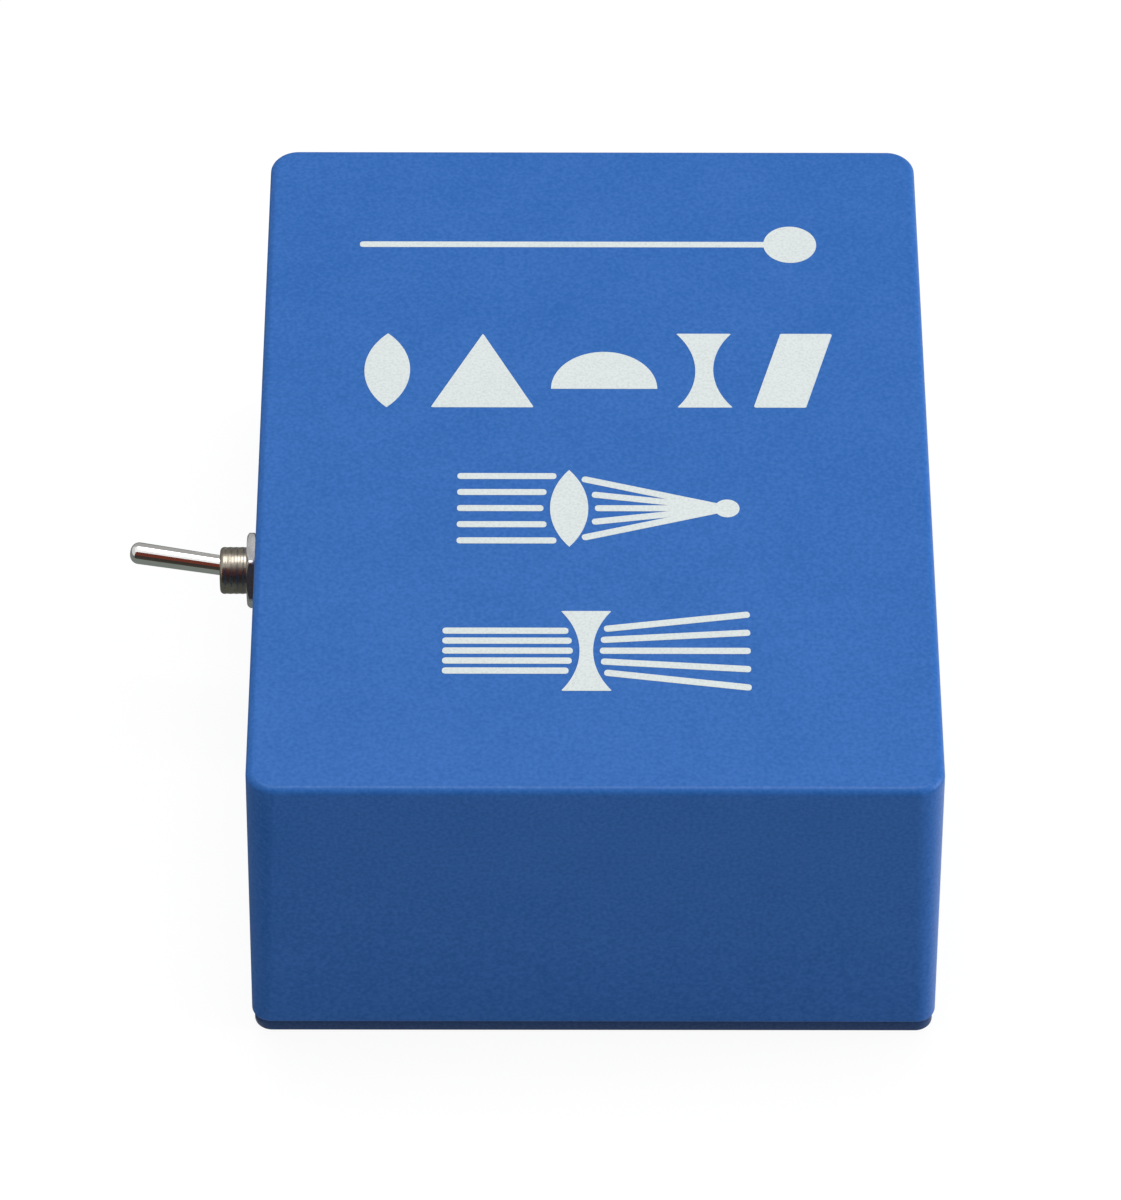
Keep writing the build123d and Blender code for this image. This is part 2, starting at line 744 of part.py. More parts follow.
with BuildPart() as lead_header:
    with BuildSketch(Plane.YZ.offset(header_face_x)):
        with Locations((header_y, beam_z)):
            Rectangle(header_size[1], header_size[2])
    extrude(amount=header_size[0])
lead_header.part.label = "lead_header"
export_step(lead_header.part, "parts/lead_header.step")

# --------------------------------------------------------------------- battery holder and cells

with BuildPart() as battery_holder:
    with BuildSketch(Plane.XY.offset(holder_mouth_z)):
        with Locations((holder_x, 0)):
            RectangleRounded(holder_w, holder_l, holder_corner_r)
    extrude(amount=holder_h)
    with BuildSketch(Plane.XY.offset(holder_mouth_z)):
        with Locations((holder_x, 0)):
            Rectangle(holder_w - 2 * holder_wall, 2 * cell_bay_y)
    extrude(amount=holder_h - holder_floor_t, mode=Mode.SUBTRACT)
    with BuildSketch(Plane.XY.offset(holder_floor_z - divider_h)):
        with Locations((holder_x, 0)):
            Rectangle(divider_t, cell_body)
    extrude(amount=divider_h)
    # Slots for the two solder tabs, in the back end wall
    with BuildSketch(Plane.XZ.offset(-cell_bay_y - holder_wall)):
        with Locations((left_cell_x, cell_z), (right_cell_x, cell_z)):
            Rectangle(tab_w + 2 * fit_clearance, tab_t + 2 * fit_clearance)
    extrude(amount=holder_wall, mode=Mode.SUBTRACT)
    holder_hole_r = holder_screw_r + through_clearance
    add(
        countersunk_hole(
            holder_screw_points, holder_floor_z, holder_screw_head_r, holder_hole_r, holder_floor_t
        ),
        mode=Mode.SUBTRACT,
    )
battery_holder.part.label = "battery_holder"
export_step(battery_holder.part, "parts/battery_holder.step")

with BuildPart() as battery_holder_screws:
    add(
        countersunk_screws(
            holder_screw_points,
            holder_floor_z,
            holder_screw_head_r,
            holder_screw_r,
            holder_screw_length,
        )
    )
battery_holder_screws.part.label = "battery_holder_screws"
export_step(battery_holder_screws.part, "parts/battery_holder_screws.step")

with BuildPart() as battery_1:
    add(cell(left_cell_x, 1))
battery_1.part.label = "battery_1"
export_step(battery_1.part, "parts/battery_1.step")

with BuildPart() as battery_2:
    add(cell(right_cell_x, -1))
battery_2.part.label = "battery_2"
export_step(battery_2.part, "parts/battery_2.step")

# Contacts: two plates with solder tabs at the back end, one bridging plate at the front end
with BuildPart() as battery_contact_plates:
    with BuildSketch(Plane.XZ.offset(-cell_bay_y)):
        with Locations((left_cell_x, cell_z), (right_cell_x, cell_z)):
            Rectangle(contact_w, contact_h)
    extrude(amount=contact_t)
    with BuildSketch(Plane.XZ.offset(-tab_end_y)):
        with Locations((left_cell_x, cell_z), (right_cell_x, cell_z)):
            Rectangle(tab_w, tab_t)
    extrude(amount=tab_end_y - cell_bay_y + contact_t)
    with BuildSketch(Plane.XZ.offset(cell_bay_y - contact_t)):
        with Locations((holder_x, cell_z)):
            Rectangle(contact_w + cell_pitch, contact_h)
    extrude(amount=contact_t)
battery_contact_plates.part.label = "battery_contact_plates"
export_step(battery_contact_plates.part, "parts/battery_contact_plates.step")

spring_seat_y = cell_bay_y - contact_t
with BuildPart() as battery_springs:
    left_seat = (left_cell_x, -spring_seat_y, cell_z)
    right_seat = (right_cell_x, spring_seat_y, cell_z)
    add(coil(left_seat, (0, 1, 0), spring_r, spring_wire_r, spring_gap, spring_turns))
    add(coil(right_seat, (0, -1, 0), spring_r, spring_wire_r, spring_gap, spring_turns))
battery_springs.part.label = "battery_springs"
export_step(battery_springs.part, "parts/battery_springs.step")

# ------------------------------------------------------------------------------------- the switch

# Threaded bush: grooves outside, ball seat and flared mouth inside
bush_back = pivot_depth - bush_length
bush_end = bush_back - frame_t
seat_r = ball_r + ball_clearance
thread_start = pivot_depth - bush_edge
groove_count = int((thread_start - bush_back) / thread_pitch)
groove_points = []
for i in range(groove_count):
    crest = thread_start - i * thread_pitch
    groove_points.append((crest, thread_r))
    groove_points.append((crest - thread_pitch / 2, thread_r - thread_depth))
groove_points.append((thread_start - groove_count * thread_pitch, thread_r))
with BuildPart() as switch_bush:
    section = switch_section()
    with BuildSketch(section):
        with BuildLine():
            Polyline(
                (throat_end, throat_r),
                (pivot_depth, mouth_r),
                (pivot_depth, thread_r - bush_edge),
                *groove_points,
                (bush_back, thread_r),
                (bush_back, spigot_r),
                (bush_end, spigot_r),
                (bush_end, mouth_r),
                (0, mouth_r),
                (0, seat_r),
            )
            TangentArc(
                (0, seat_r), (sqrt(seat_r**2 - throat_r**2), throat_r), tangent=(1, 0)
            )
            Line((sqrt(seat_r**2 - throat_r**2), throat_r), (throat_end, throat_r))
        make_face()
    revolve(axis=Axis(section.origin, section.x_dir))
    # Cross hole for the lever's pin, under the nut
    with BuildSketch(Plane.XY.offset(switch_z - thread_r)):
        with Locations((pivot_x, 0)):
            Circle(lever_pin_r + fit_clearance)
    extrude(amount=2 * thread_r, mode=Mode.SUBTRACT)
switch_bush.part.label = "switch_bush"
export_step(switch_bush.part, "parts/switch_bush.step")

with BuildPart() as lock_washer:
    with BuildSketch(Plane.YZ.offset(washer_face_x - lock_washer_t)):
        with Locations((0, switch_z)):
            Circle(lock_washer_r)
            Circle(lock_washer_r - lock_washer_ring, mode=Mode.SUBTRACT)
            tooth_root_r = lock_washer_r - lock_washer_ring / 2
            tooth_length = tooth_root_r - thread_r - through_clearance
            with PolarLocations(tooth_root_r - tooth_length / 2, lock_tooth_count):
                Rectangle(tooth_length, lock_tooth_w)
    extrude(amount=lock_washer_t)
lock_washer.part.label = "lock_washer"
export_step(lock_washer.part, "parts/lock_washer.step")

nut_corner_r = nut_flats / 2 / cos(radians(hexagon_turn))
nut_chamfer_h = (nut_corner_r - nut_flats / 2) * tan(radians(nut_chamfer_angle))
with BuildPart() as switch_nut:
    with BuildSketch(Plane.YZ.offset(nut_face_x - nut_t)):
        with Locations((0, switch_z)):
            RegularPolygon(nut_corner_r, 6, rotation=-nut_turn)
            Circle(thread_r + fit_clearance, mode=Mode.SUBTRACT)
    extrude(amount=nut_t)
    # Both faces turned down to a cone at the corners
    nut_centre = Plane(origin=(nut_face_x, 0, switch_z), x_dir=(-1, 0, 0), z_dir=(0, 1, 0))
    with BuildSketch(nut_centre):
        with BuildLine():
            Polyline(
                (0, 0),
                (0, nut_flats / 2),
                (nut_chamfer_h, nut_corner_r),
                (nut_t - nut_chamfer_h, nut_corner_r),
                (nut_t, nut_flats / 2),
                (nut_t, 0),
                close=True,
            )
        make_face()
    revolve(axis=Axis(nut_centre.origin, nut_centre.x_dir), mode=Mode.INTERSECT)
switch_nut.part.label = "switch_nut"
export_step(switch_nut.part, "parts/switch_nut.step")

with BuildPart() as locating_washer:
    with BuildSketch(Plane.YZ.offset(spacer_face_x)):
        with Locations((0, switch_z)):
            Circle(locating_washer_r)
            Circle(thread_r + through_clearance, mode=Mode.SUBTRACT)
    extrude(amount=locating_washer_t)
locating_washer.part.label = "locating_washer"
export_step(locating_washer.part, "parts/locating_washer.step")

# Steel frame: a plate on the bush, two legs beside the case, tabs folded under it
frame_y = switch_case_y + 2 * frame_leg_t
with BuildPart() as switch_frame:
    with BuildSketch(Plane.YZ.offset(frame_face_x)):
        with Locations((0, switch_z)):
            Rectangle(frame_y, switch_case_z)
            Circle(spigot_r + fit_clearance, mode=Mode.SUBTRACT)
    extrude(amount=frame_t)
    leg_y = switch_case_y / 2 + frame_leg_t / 2
    with BuildSketch(Plane.YZ.offset(case_face_x)):
        with Locations((-leg_y, switch_z), (leg_y, switch_z)):
            Rectangle(frame_leg_t, switch_case_z)
    extrude(amount=switch_case_depth)
    tab_mid_y = frame_y / 2 - frame_tab / 2
    with BuildSketch(Plane.YZ.offset(case_back_x)):
        with Locations((-tab_mid_y, switch_z), (tab_mid_y, switch_z)):
            Rectangle(frame_tab, switch_case_z)
    extrude(amount=frame_leg_t)
switch_frame.part.label = "switch_frame"
export_step(switch_frame.part, "parts/switch_frame.step")

lug_points = [(-lug_pitch, switch_z), (0, switch_z), (lug_pitch, switch_z)]
with BuildPart() as switch_case:
    with BuildSketch(Plane.YZ.offset(case_face_x)):
        with Locations((0, switch_z)):
            Rectangle(switch_case_y, switch_case_z)
    extrude(amount=switch_case_depth)
    with BuildSketch(Plane.YZ.offset(case_face_x)):
        with Locations((0, switch_z)):
            Rectangle(switch_cavity_y, switch_cavity_z)
    extrude(amount=switch_case_depth - switch_floor_t, mode=Mode.SUBTRACT)
    with BuildSketch(Plane.YZ.offset(case_floor_x)):
        with Locations(*lug_points):
            Rectangle(lug_t, lug_w)
    extrude(amount=switch_floor_t, mode=Mode.SUBTRACT)
switch_case.part.label = "switch_case"
export_step(switch_case.part, "parts/switch_case.step")

# Three lugs through the case floor: a fulcrum blade in the middle, a domed contact on each side
fulcrum_x = rocker_axis_x + rocker_gap + fulcrum_r
dome_x = rocker_axis_x + contact_gap + contact_dome_r
foot_inner_y = contact_dome_y - contact_dome_r
foot_outer_y = switch_cavity_y / 2 - fit_clearance
with BuildPart() as switch_terminals:
    with BuildSketch(Plane.YZ.offset(case_floor_x)):
        with Locations(*lug_points):
            Rectangle(lug_t, lug_w)
    extrude(amount=switch_floor_t + lug_length)
    with BuildSketch(Plane.XY.offset(switch_z - fulcrum_w / 2)):
        with Locations((fulcrum_x, 0)):
            Circle(fulcrum_r)
        with Locations(((fulcrum_x + case_floor_x) / 2, 0)):
            Rectangle(case_floor_x - fulcrum_x, 2 * fulcrum_r)
    extrude(amount=fulcrum_w)
    with BuildSketch(Plane.YZ.offset(case_floor_x - lug_foot_t)):
        foot_mid_y = (foot_inner_y + foot_outer_y) / 2
        with Locations((-foot_mid_y, switch_z), (foot_mid_y, switch_z)):
            Rectangle(foot_outer_y - foot_inner_y, lug_w)
    extrude(amount=lug_foot_t)
    for way in (-1, 1):
        post = Plane(origin=(dome_x, way * contact_dome_y, switch_z), z_dir=(1, 0, 0))
        with BuildSketch(post):
            Circle(contact_dome_r)
        extrude(amount=case_floor_x - dome_x)
        with Locations(post):
            Sphere(contact_dome_r)
switch_terminals.part.label = "switch_terminals"
export_step(switch_terminals.part, "parts/switch_terminals.step")

# Contact rocker: two arms in a shallow V, one of them lying flat over its contact
with BuildPart() as contact_rocker:
    with BuildSketch(Plane.XY.offset(switch_z - rocker_w / 2)):
        with BuildLine():
            raised = radians(2 * rocker_angle)
            half = radians(rocker_angle)
            crest = (rocker_axis_x - rocker_t, -rocker_t * tan(half))
            raised_tip_x = rocker_axis_x - rocker_reach * sin(raised)
            raised_tip_y = rocker_reach * cos(raised)
            Polyline(
                (rocker_axis_x, 0),
                (rocker_axis_x, -rocker_reach),
                (rocker_axis_x - rocker_t, -rocker_reach),
                crest,
                (raised_tip_x - rocker_t * cos(raised), raised_tip_y - rocker_t * sin(raised)),
                (raised_tip_x, raised_tip_y),
                close=True,
            )
        make_face()
    extrude(amount=rocker_w)
contact_rocker.part.label = "contact_rocker"
export_step(contact_rocker.part, "parts/contact_rocker.step")

# Lever: rounded handle, ball, and a hollow skirt that carries the plunger
lever_section = switch_section(lever_tilt)
lever_axis = Axis(lever_section.origin, lever_section.x_dir)
with BuildPart() as toggle_lever:
    with BuildSketch(lever_section):
        with BuildLine():
            Polyline(
                (-sqrt(ball_r**2 - skirt_r**2), skirt_r),
                (-skirt_length, skirt_r),
                (-skirt_length, plunger_bore_r),
                (-plunger_bore_end, plunger_bore_r),
                (-plunger_bore_end, 0),
                (lever_length, 0),
                (lever_length, lever_tip_r - lever_tip_round_r),
            )
            TangentArc(
                (lever_length, lever_tip_r - lever_tip_round_r),
                (lever_length - lever_tip_round_r, lever_tip_r),
                tangent=(0, 1),
            )
            Line(
                (lever_length - lever_tip_round_r, lever_tip_r),
                (sqrt(ball_r**2 - lever_neck_r**2), lever_neck_r),
            )
            ThreePointArc(
                (sqrt(ball_r**2 - lever_neck_r**2), lever_neck_r),
                (0, ball_r),
                (-sqrt(ball_r**2 - skirt_r**2), skirt_r),
            )
        make_face()
    revolve(axis=lever_axis)
    # Bore for the cross pin that the ball turns on
    with BuildSketch(Plane.XY.offset(switch_z - ball_r)):
        with Locations((pivot_x, 0)):
            Circle(lever_pin_r + fit_clearance)
    extrude(amount=2 * ball_r, mode=Mode.SUBTRACT)
toggle_lever.part.label = "toggle_lever"
export_step(toggle_lever.part, "parts/toggle_lever.step")

lever_pin_length = 2 * (thread_r - thread_depth)
with BuildPart() as lever_pin:
    with BuildSketch(Plane.XY.offset(switch_z - lever_pin_length / 2)):
        with Locations((pivot_x, 0)):
            Circle(lever_pin_r)
    extrude(amount=lever_pin_length)
lever_pin.part.label = "lever_pin"
export_step(lever_pin.part, "parts/lever_pin.step")

with BuildPart() as toggle_plunger:
    with BuildSketch(lever_section):
        with BuildLine():
            Polyline(
                (-plunger_reach, 0),
                (plunger_length - plunger_reach, 0),
                (plunger_length - plunger_reach, plunger_r),
                (plunger_r - plunger_reach, plunger_r),
            )
            TangentArc(
                (-plunger_reach, 0), (plunger_r - plunger_reach, plunger_r), tangent=(0, 1)
            )
        make_face()
    revolve(axis=lever_axis)
toggle_plunger.part.label = "toggle_plunger"
export_step(toggle_plunger.part, "parts/toggle_plunger.step")

plunger_spring_seat = lever_section.origin - lever_section.x_dir * plunger_bore_end
plunger_spring_height = plunger_reach - plunger_length - plunger_bore_end
with BuildPart() as plunger_spring:
    add(
        coil(
            plunger_spring_seat,
            -lever_section.x_dir,
            plunger_spring_r,
            plunger_spring_wire_r,
            plunger_spring_height,
            plunger_spring_turns,
        )
    )
plunger_spring.part.label = "plunger_spring"
export_step(plunger_spring.part, "parts/plunger_spring.step")

# ------------------------------------------------------------------------------------------ leads

lug_run_x = lug_tip_x + lead_start
holder_back_y = holder_l / 2

with BuildPart() as battery_red_lead:
    add(
        lead(
            "battery_red_lead",
            [
                (lug_tip_x, 0, switch_z),
                (lug_run_x, 0, switch_z),
                (lug_run_x, 3.0, switch_z + 3.5),
                (lug_run_x, holder_back_y / 2, cell_z + 2.5),
                (lug_run_x, holder_back_y - 1.0, cell_z + 1.2),
                (left_cell_x - 6.0, tab_end_y + 5.0, cell_z),
                (left_cell_x, tab_end_y + 4.5, cell_z),
                (left_cell_x, tab_end_y, cell_z),
            ],
        )
    )
battery_red_lead.part.label = "battery_red_lead"
export_step(battery_red_lead.part, "parts/battery_red_lead.step")

with BuildPart() as switch_red_lead:
    add(
        lead(
            "switch_red_lead",
            [
                (lug_tip_x, lug_pitch, switch_z),
                (lug_run_x, lug_pitch, switch_z),
                (lug_run_x, lug_pitch + 3.0, switch_z - 4.0),
                (lug_run_x, 0.7 * holder_back_y, beam_z + 0.5),
                (lug_run_x + 0.4, holder_back_y, beam_z - 0.5),
                (left_cell_x - 1.0, holder_back_y + 13.0, beam_z),
                (right_cell_x, header_outer_y + 3.5, beam_z + 0.5),
                (right_cell_x + 4.5, header_outer_y, beam_z),
                (header_face_x, header_outer_y, beam_z),
            ],
        )
    )
switch_red_lead.part.label = "switch_red_lead"
export_step(switch_red_lead.part, "parts/switch_red_lead.step")

with BuildPart() as battery_black_lead:
    add(
        lead(
            "battery_black_lead",
            [
                (right_cell_x, tab_end_y, cell_z),
                (right_cell_x, tab_end_y + 4.0, cell_z),
                (right_cell_x + 1.0, tab_end_y + 5.5, beam_z + 4.5),
                (right_cell_x + 4.0, header_inner_y, beam_z),
                (header_face_x, header_inner_y, beam_z),
            ],
        )
    )
battery_black_lead.part.label = "battery_black_lead"
export_step(battery_black_lead.part, "parts/battery_black_lead.step")
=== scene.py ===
"""Looks of a five-beam optics ray box, modelled around its CAD frame.

The case, its cover and cover screws, the outer parts of the lever switch, its plunger's spring and the white
print on the top are modelled here with Blender's operators. Every other piece keeps its CAD mesh and gets a
finish of its own. Lengths are in metres, in the frame of the CAD model: +Z is up, +X faces the beam wall and
+Y the back.
"""

import json
import logging
from contextlib import contextmanager
from dataclasses import dataclass
from enum import Enum
from math import atan2, cos, pi, radians, sin, sqrt, tan
from typing import Any, Callable, Dict, Iterator, List, Optional, Sequence, Tuple, Union

import bpy
from mathutils import Matrix, Vector


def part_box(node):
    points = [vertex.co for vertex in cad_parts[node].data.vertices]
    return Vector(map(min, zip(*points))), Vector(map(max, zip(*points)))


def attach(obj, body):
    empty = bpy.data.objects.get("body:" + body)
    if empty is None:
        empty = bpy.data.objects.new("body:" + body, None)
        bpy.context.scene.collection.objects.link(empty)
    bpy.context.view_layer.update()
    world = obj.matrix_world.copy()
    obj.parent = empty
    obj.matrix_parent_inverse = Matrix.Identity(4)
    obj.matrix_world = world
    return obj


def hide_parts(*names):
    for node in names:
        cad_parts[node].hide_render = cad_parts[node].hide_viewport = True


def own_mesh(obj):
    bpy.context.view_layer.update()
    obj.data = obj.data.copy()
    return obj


log = logging.getLogger("ray_box")

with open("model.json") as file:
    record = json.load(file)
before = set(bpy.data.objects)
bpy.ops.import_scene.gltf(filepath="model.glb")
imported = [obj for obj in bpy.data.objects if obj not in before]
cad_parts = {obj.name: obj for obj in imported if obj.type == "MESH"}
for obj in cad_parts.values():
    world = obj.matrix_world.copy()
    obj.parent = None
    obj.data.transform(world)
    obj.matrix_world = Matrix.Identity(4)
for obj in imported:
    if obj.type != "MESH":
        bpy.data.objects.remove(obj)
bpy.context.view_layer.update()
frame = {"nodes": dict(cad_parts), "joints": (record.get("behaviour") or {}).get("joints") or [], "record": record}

MM = 0.001
UP = Vector((0, 0, 1))
WELD_GAP = 0.001 * MM  # vertices nearer than this are one
WHITE = (1.0, 1.0, 1.0, 1.0)

Colour = Tuple[float, float, float, float]
Place = Tuple[float, float, float]
Point = Tuple[float, float]
Piece = bpy.types.Object
Socket = bpy.types.NodeSocket
Test = Callable[[Vector, Vector], bool]


# ------------------------------------------------------------------------------------ the work bench


class Select(Enum):
    """What is selected in edit mode: the flags for vertices, edges and faces."""

    EDGES = (False, True, False)
    FACES = (False, False, True)


class Merge(Enum):
    """What a tool piece does to the piece that it is put to."""

    CUT = "DIFFERENCE"
    TRIM = "INTERSECT"
    WELD = "UNION"


def everything(middle: Vector, way: Vector) -> bool:
    """A test that every edge and face passes."""
    return True


def upright(middle: Vector, way: Vector) -> bool:
    """Whether an edge stands upright, or a face lies level."""
    return abs(way.z) > 0.9


class Bench:
    """The work bench, on which one mesh at a time is shaped with Blender's operators."""

    WIRE_SIDES = 12
    COIL_STEPS = 32

    @staticmethod
    def hold(piece: Piece) -> None:
        """Select one piece alone and make it the active one.

        Args:
            piece: The piece.
        """
        bpy.ops.object.select_all(action="DESELECT")
        piece.select_set(True)
        bpy.context.view_layer.objects.active = piece

    @staticmethod
    def settle(name: str) -> Piece:
        """Name the primitive that was just added, and put its place into its mesh.

        Args:
            name: The piece's name.

        Returns:
            The piece, its object at the origin, unturned and unscaled.
        """
        piece = bpy.context.object
        piece.name = piece.data.name = name
        bpy.ops.object.transform_apply(location=True, rotation=True, scale=True)
        return piece

    @classmethod
    def block(cls, name: str, low: Vector, high: Vector, turn: float = 0.0) -> Piece:
        """Add a cuboid between two corners, turned about the vertical through its middle."""
        bpy.ops.mesh.primitive_cube_add(
            size=1, location=(low + high) / 2, rotation=(0, 0, turn), scale=high - low
        )
        return cls.settle(name)

    @classmethod
    def rod(
        cls, name: str, start: Vector, end: Vector, radius: float, sides: int = 64, turn: float = 0.0
    ) -> Piece:
        """Add a cylinder or a prism.

        Args:
            name: The piece's name.
            start: Middle of its first end.
            end: Middle of its second end.
            radius: Its radius, over the corners.
            sides: How many sides it has.
            turn: Angle about its own axis.

        Returns:
            The new piece.
        """
        heading = (end - start).to_track_quat("Z", "Y").to_matrix() @ Matrix.Rotation(turn, 3, "Z")
        bpy.ops.mesh.primitive_cylinder_add(
            vertices=sides,
            radius=radius,
            depth=(end - start).length,
            location=(start + end) / 2,
            rotation=heading.to_euler(),
        )
        return cls.settle(name)

    @classmethod
    def turned(
        cls, name: str, centre: Vector, axis: Vector, profile: Sequence[Point], sides: int = 96
    ) -> Piece:
        """Turn a piece as on a lathe: a ring is drawn out from point to point of a profile.

        Args:
            name: The piece's name.
            centre: The point on the axis that the profile counts from.
            axis: Direction of the axis.
            profile: Places along the axis and radii, the first radius over zero. A profile that comes
                back to its first point makes a ring, and the ends of any other are closed.
            sides: How many vertices go round.

        Returns:
            The new piece.
        """
        heading = axis.normalized()
        along, radius = profile[0]
        place, turn = centre + heading * along, heading.to_track_quat("Z", "Y").to_euler()
        bpy.ops.mesh.primitive_circle_add(vertices=sides, radius=radius, location=place, rotation=turn)
        piece = cls.settle(name)
        with cls.picked(piece, Select.EDGES, everything):
            for next_along, next_radius in profile[1:]:
                step = heading * (next_along - along)
                bpy.ops.mesh.extrude_region_move(TRANSFORM_OT_translate={"value": step})
                place = centre + heading * next_along
                bpy.ops.transform.resize(value=[next_radius / radius] * 3, center_override=place)
                along, radius = next_along, next_radius
            cls.seal()
        return piece

    @classmethod
    def coil(
        cls, name: str, seat: Vector, way: Vector, radius: float, wire: float, height: float, turns: int
    ) -> Piece:
        """Wind a coil spring: a ring of the wire's size is carried round and along an axis.

        Args:
            name: The piece's name.
            seat: The point on the axis that it stands on.
            way: The direction in which it rises.
            radius: Radius of the wire's middle line.
            wire: Radius of the wire.
            height: Its height over all.
            turns: How many turns it has.

        Returns:
            The new piece.
        """
        bpy.ops.mesh.primitive_circle_add(
            vertices=cls.WIRE_SIDES, radius=wire, location=(radius, 0, wire), rotation=(pi / 2, 0, 0)
        )
        piece = cls.settle(name)
        rise, steps = (height - 2 * wire) / turns, cls.COIL_STEPS
        cls.modify(piece, "SCREW", screw_offset=rise, iterations=turns, steps=steps, render_steps=steps)
        with cls.picked(piece, Select.EDGES, everything):
            cls.seal()
        piece.rotation_euler = way.to_track_quat("Z", "Y").to_euler()
        piece.location = seat
        bpy.ops.object.transform_apply(location=True, rotation=True, scale=True)
        return piece

    @staticmethod
    def seal() -> None:
        """Weld, close and turn outwards the whole mesh that is open in edit mode."""
        bpy.ops.mesh.select_all(action="SELECT")
        bpy.ops.mesh.remove_doubles(threshold=WELD_GAP)
        bpy.ops.mesh.fill_holes(sides=0)
        bpy.ops.mesh.normals_make_consistent(inside=False)

    @classmethod
    @contextmanager
    def picked(cls, piece: Piece, kind: Select, test: Test) -> Iterator[None]:
        """Hold a piece in edit mode, with some of its edges or faces selected, and then leave the mode.

        Args:
            piece: The piece.
            kind: Whether edges or faces are selected.
            test: Says of a middle, and of an edge's direction or a face's normal, whether it is selected.

        Yields:
            Nothing, while the edit mode is open.
        """
        cls.hold(piece)
        mesh = piece.data
        bpy.context.tool_settings.mesh_select_mode = kind.value
        for elements in (mesh.vertices, mesh.edges, mesh.polygons):
            elements.foreach_set("select", [False] * len(elements))
        if kind is Select.FACES:
            for face in mesh.polygons:
                face.select = test(face.center, face.normal)
        else:
            for edge in mesh.edges:
                first, second = (mesh.vertices[i].co for i in edge.vertices)
                edge.select = test((first + second) / 2, (second - first).normalized())
        bpy.ops.object.mode_set(mode="EDIT")
        yield
        bpy.ops.object.mode_set(mode="OBJECT")

    @classmethod
    def round_edges(cls, piece: Piece, radius: float, steps: int, test: Test) -> None:
        """Round the edges that pass a test, with so many faces each."""
        with cls.picked(piece, Select.EDGES, test):
            bpy.ops.mesh.bevel(offset=radius, segments=steps, profile=0.5, affect="EDGES")

    @classmethod
    def stretch(cls, piece: Piece, kind: Select, test: Test, shares: Place, centre: Sequence[float]) -> None:
        """Scale the edges or faces that pass a test by a share along each axis, about a centre."""
        with cls.picked(piece, kind, test):
            bpy.ops.transform.resize(value=shares, center_override=centre)

    @classmethod
    def modify(cls, piece: Piece, kind: str, **settings: Any) -> None:
        """Put a modifier on a piece and apply it.

        Args:
            piece: The piece.
            kind: The modifier's type.
            settings: Its properties.
        """
        cls.hold(piece)
        modifier = piece.modifiers.new(kind.lower(), kind)
        for key, value in settings.items():
            setattr(modifier, key, value)
        bpy.ops.object.modifier_apply(modifier=modifier.name)

    @classmethod
    def join(cls, name: str, pieces: Sequence[Piece]) -> Piece:
        """Join pieces into one, without welding them.

        Args:
            name: Name of the joined piece.
            pieces: The pieces, which are used up.

        Returns:
            The joined piece.
        """
        joined = pieces[0]
        cls.hold(joined)
        for piece in pieces:
            piece.select_set(True)
        bpy.ops.object.join()
        joined.name = joined.data.name = name
        return joined

    @classmethod
    def put(cls, piece: Piece, merge: Merge, tools: Sequence[Piece]) -> None:
        """Cut, trim or weld a piece with tools that stand clear of each other.

        Args:
            piece: The piece.
            merge: What the tools do to it.
            tools: The tool pieces, which are used up.
        """
        tool = cls.join("tool", tools)
        cls.modify(piece, "BOOLEAN", operation=merge.value, solver="EXACT", object=tool)
        bpy.data.objects.remove(tool)

    @staticmethod
    def copies(piece: Piece, moves: Sequence[Vector]) -> List[Piece]:
        """Copy a piece to other places, each copy with its own mesh.

        Args:
            piece: The piece, which stays where it is.
            moves: How far each copy is moved.

        Returns:
            The piece and its copies.
        """
        made = [piece]
        for move in moves:
            twin = piece.copy()
            twin.data = piece.data.copy()
            twin.data.transform(Matrix.Translation(move))
            bpy.context.scene.collection.objects.link(twin)
            made.append(twin)
        return made

    @classmethod
    def smooth(cls, piece: Piece, angle: float = radians(32)) -> None:
        """Shade a piece smooth up to an angle, with its large faces kept flat.

        Args:
            piece: The piece.
            angle: Edges sharper than this stay sharp.
        """
        cls.hold(piece)
        bpy.ops.object.shade_smooth_by_angle(angle=angle)
        cls.modify(piece, "WEIGHTED_NORMAL", keep_sharp=True)


def arc(centre: Point, radius: float, start: float, end: float, steps: int) -> List[Point]:
    """Points along a round stretch of a profile, whose angles count from the axis."""
    turns = [start + (end - start) * i / steps for i in range(steps + 1)]
    return [(centre[0] + radius * cos(t), centre[1] + radius * sin(t)) for t in turns]


def present(piece: Piece, body: str, finish: "Finish", replaced: str = "") -> None:
    """Dress a finished piece and hang it on its body.

    Args:
        piece: The piece.
        body: The CAD body that it moves with.
        finish: Its finish.
        replaced: The CAD node that it stands for, if any.
    """
    piece.data.materials.clear()
    piece.data.materials.append(finish.material())
    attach(piece, body)
    if replaced:
        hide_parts(replaced)
    faces = sum(len(face.vertices) - 2 for face in piece.data.polygons)
    log.info("%s on %s: %d triangles, %s", piece.name, body, faces, finish.name)


# ----------------------------------------------------------------------------------- shader drawing


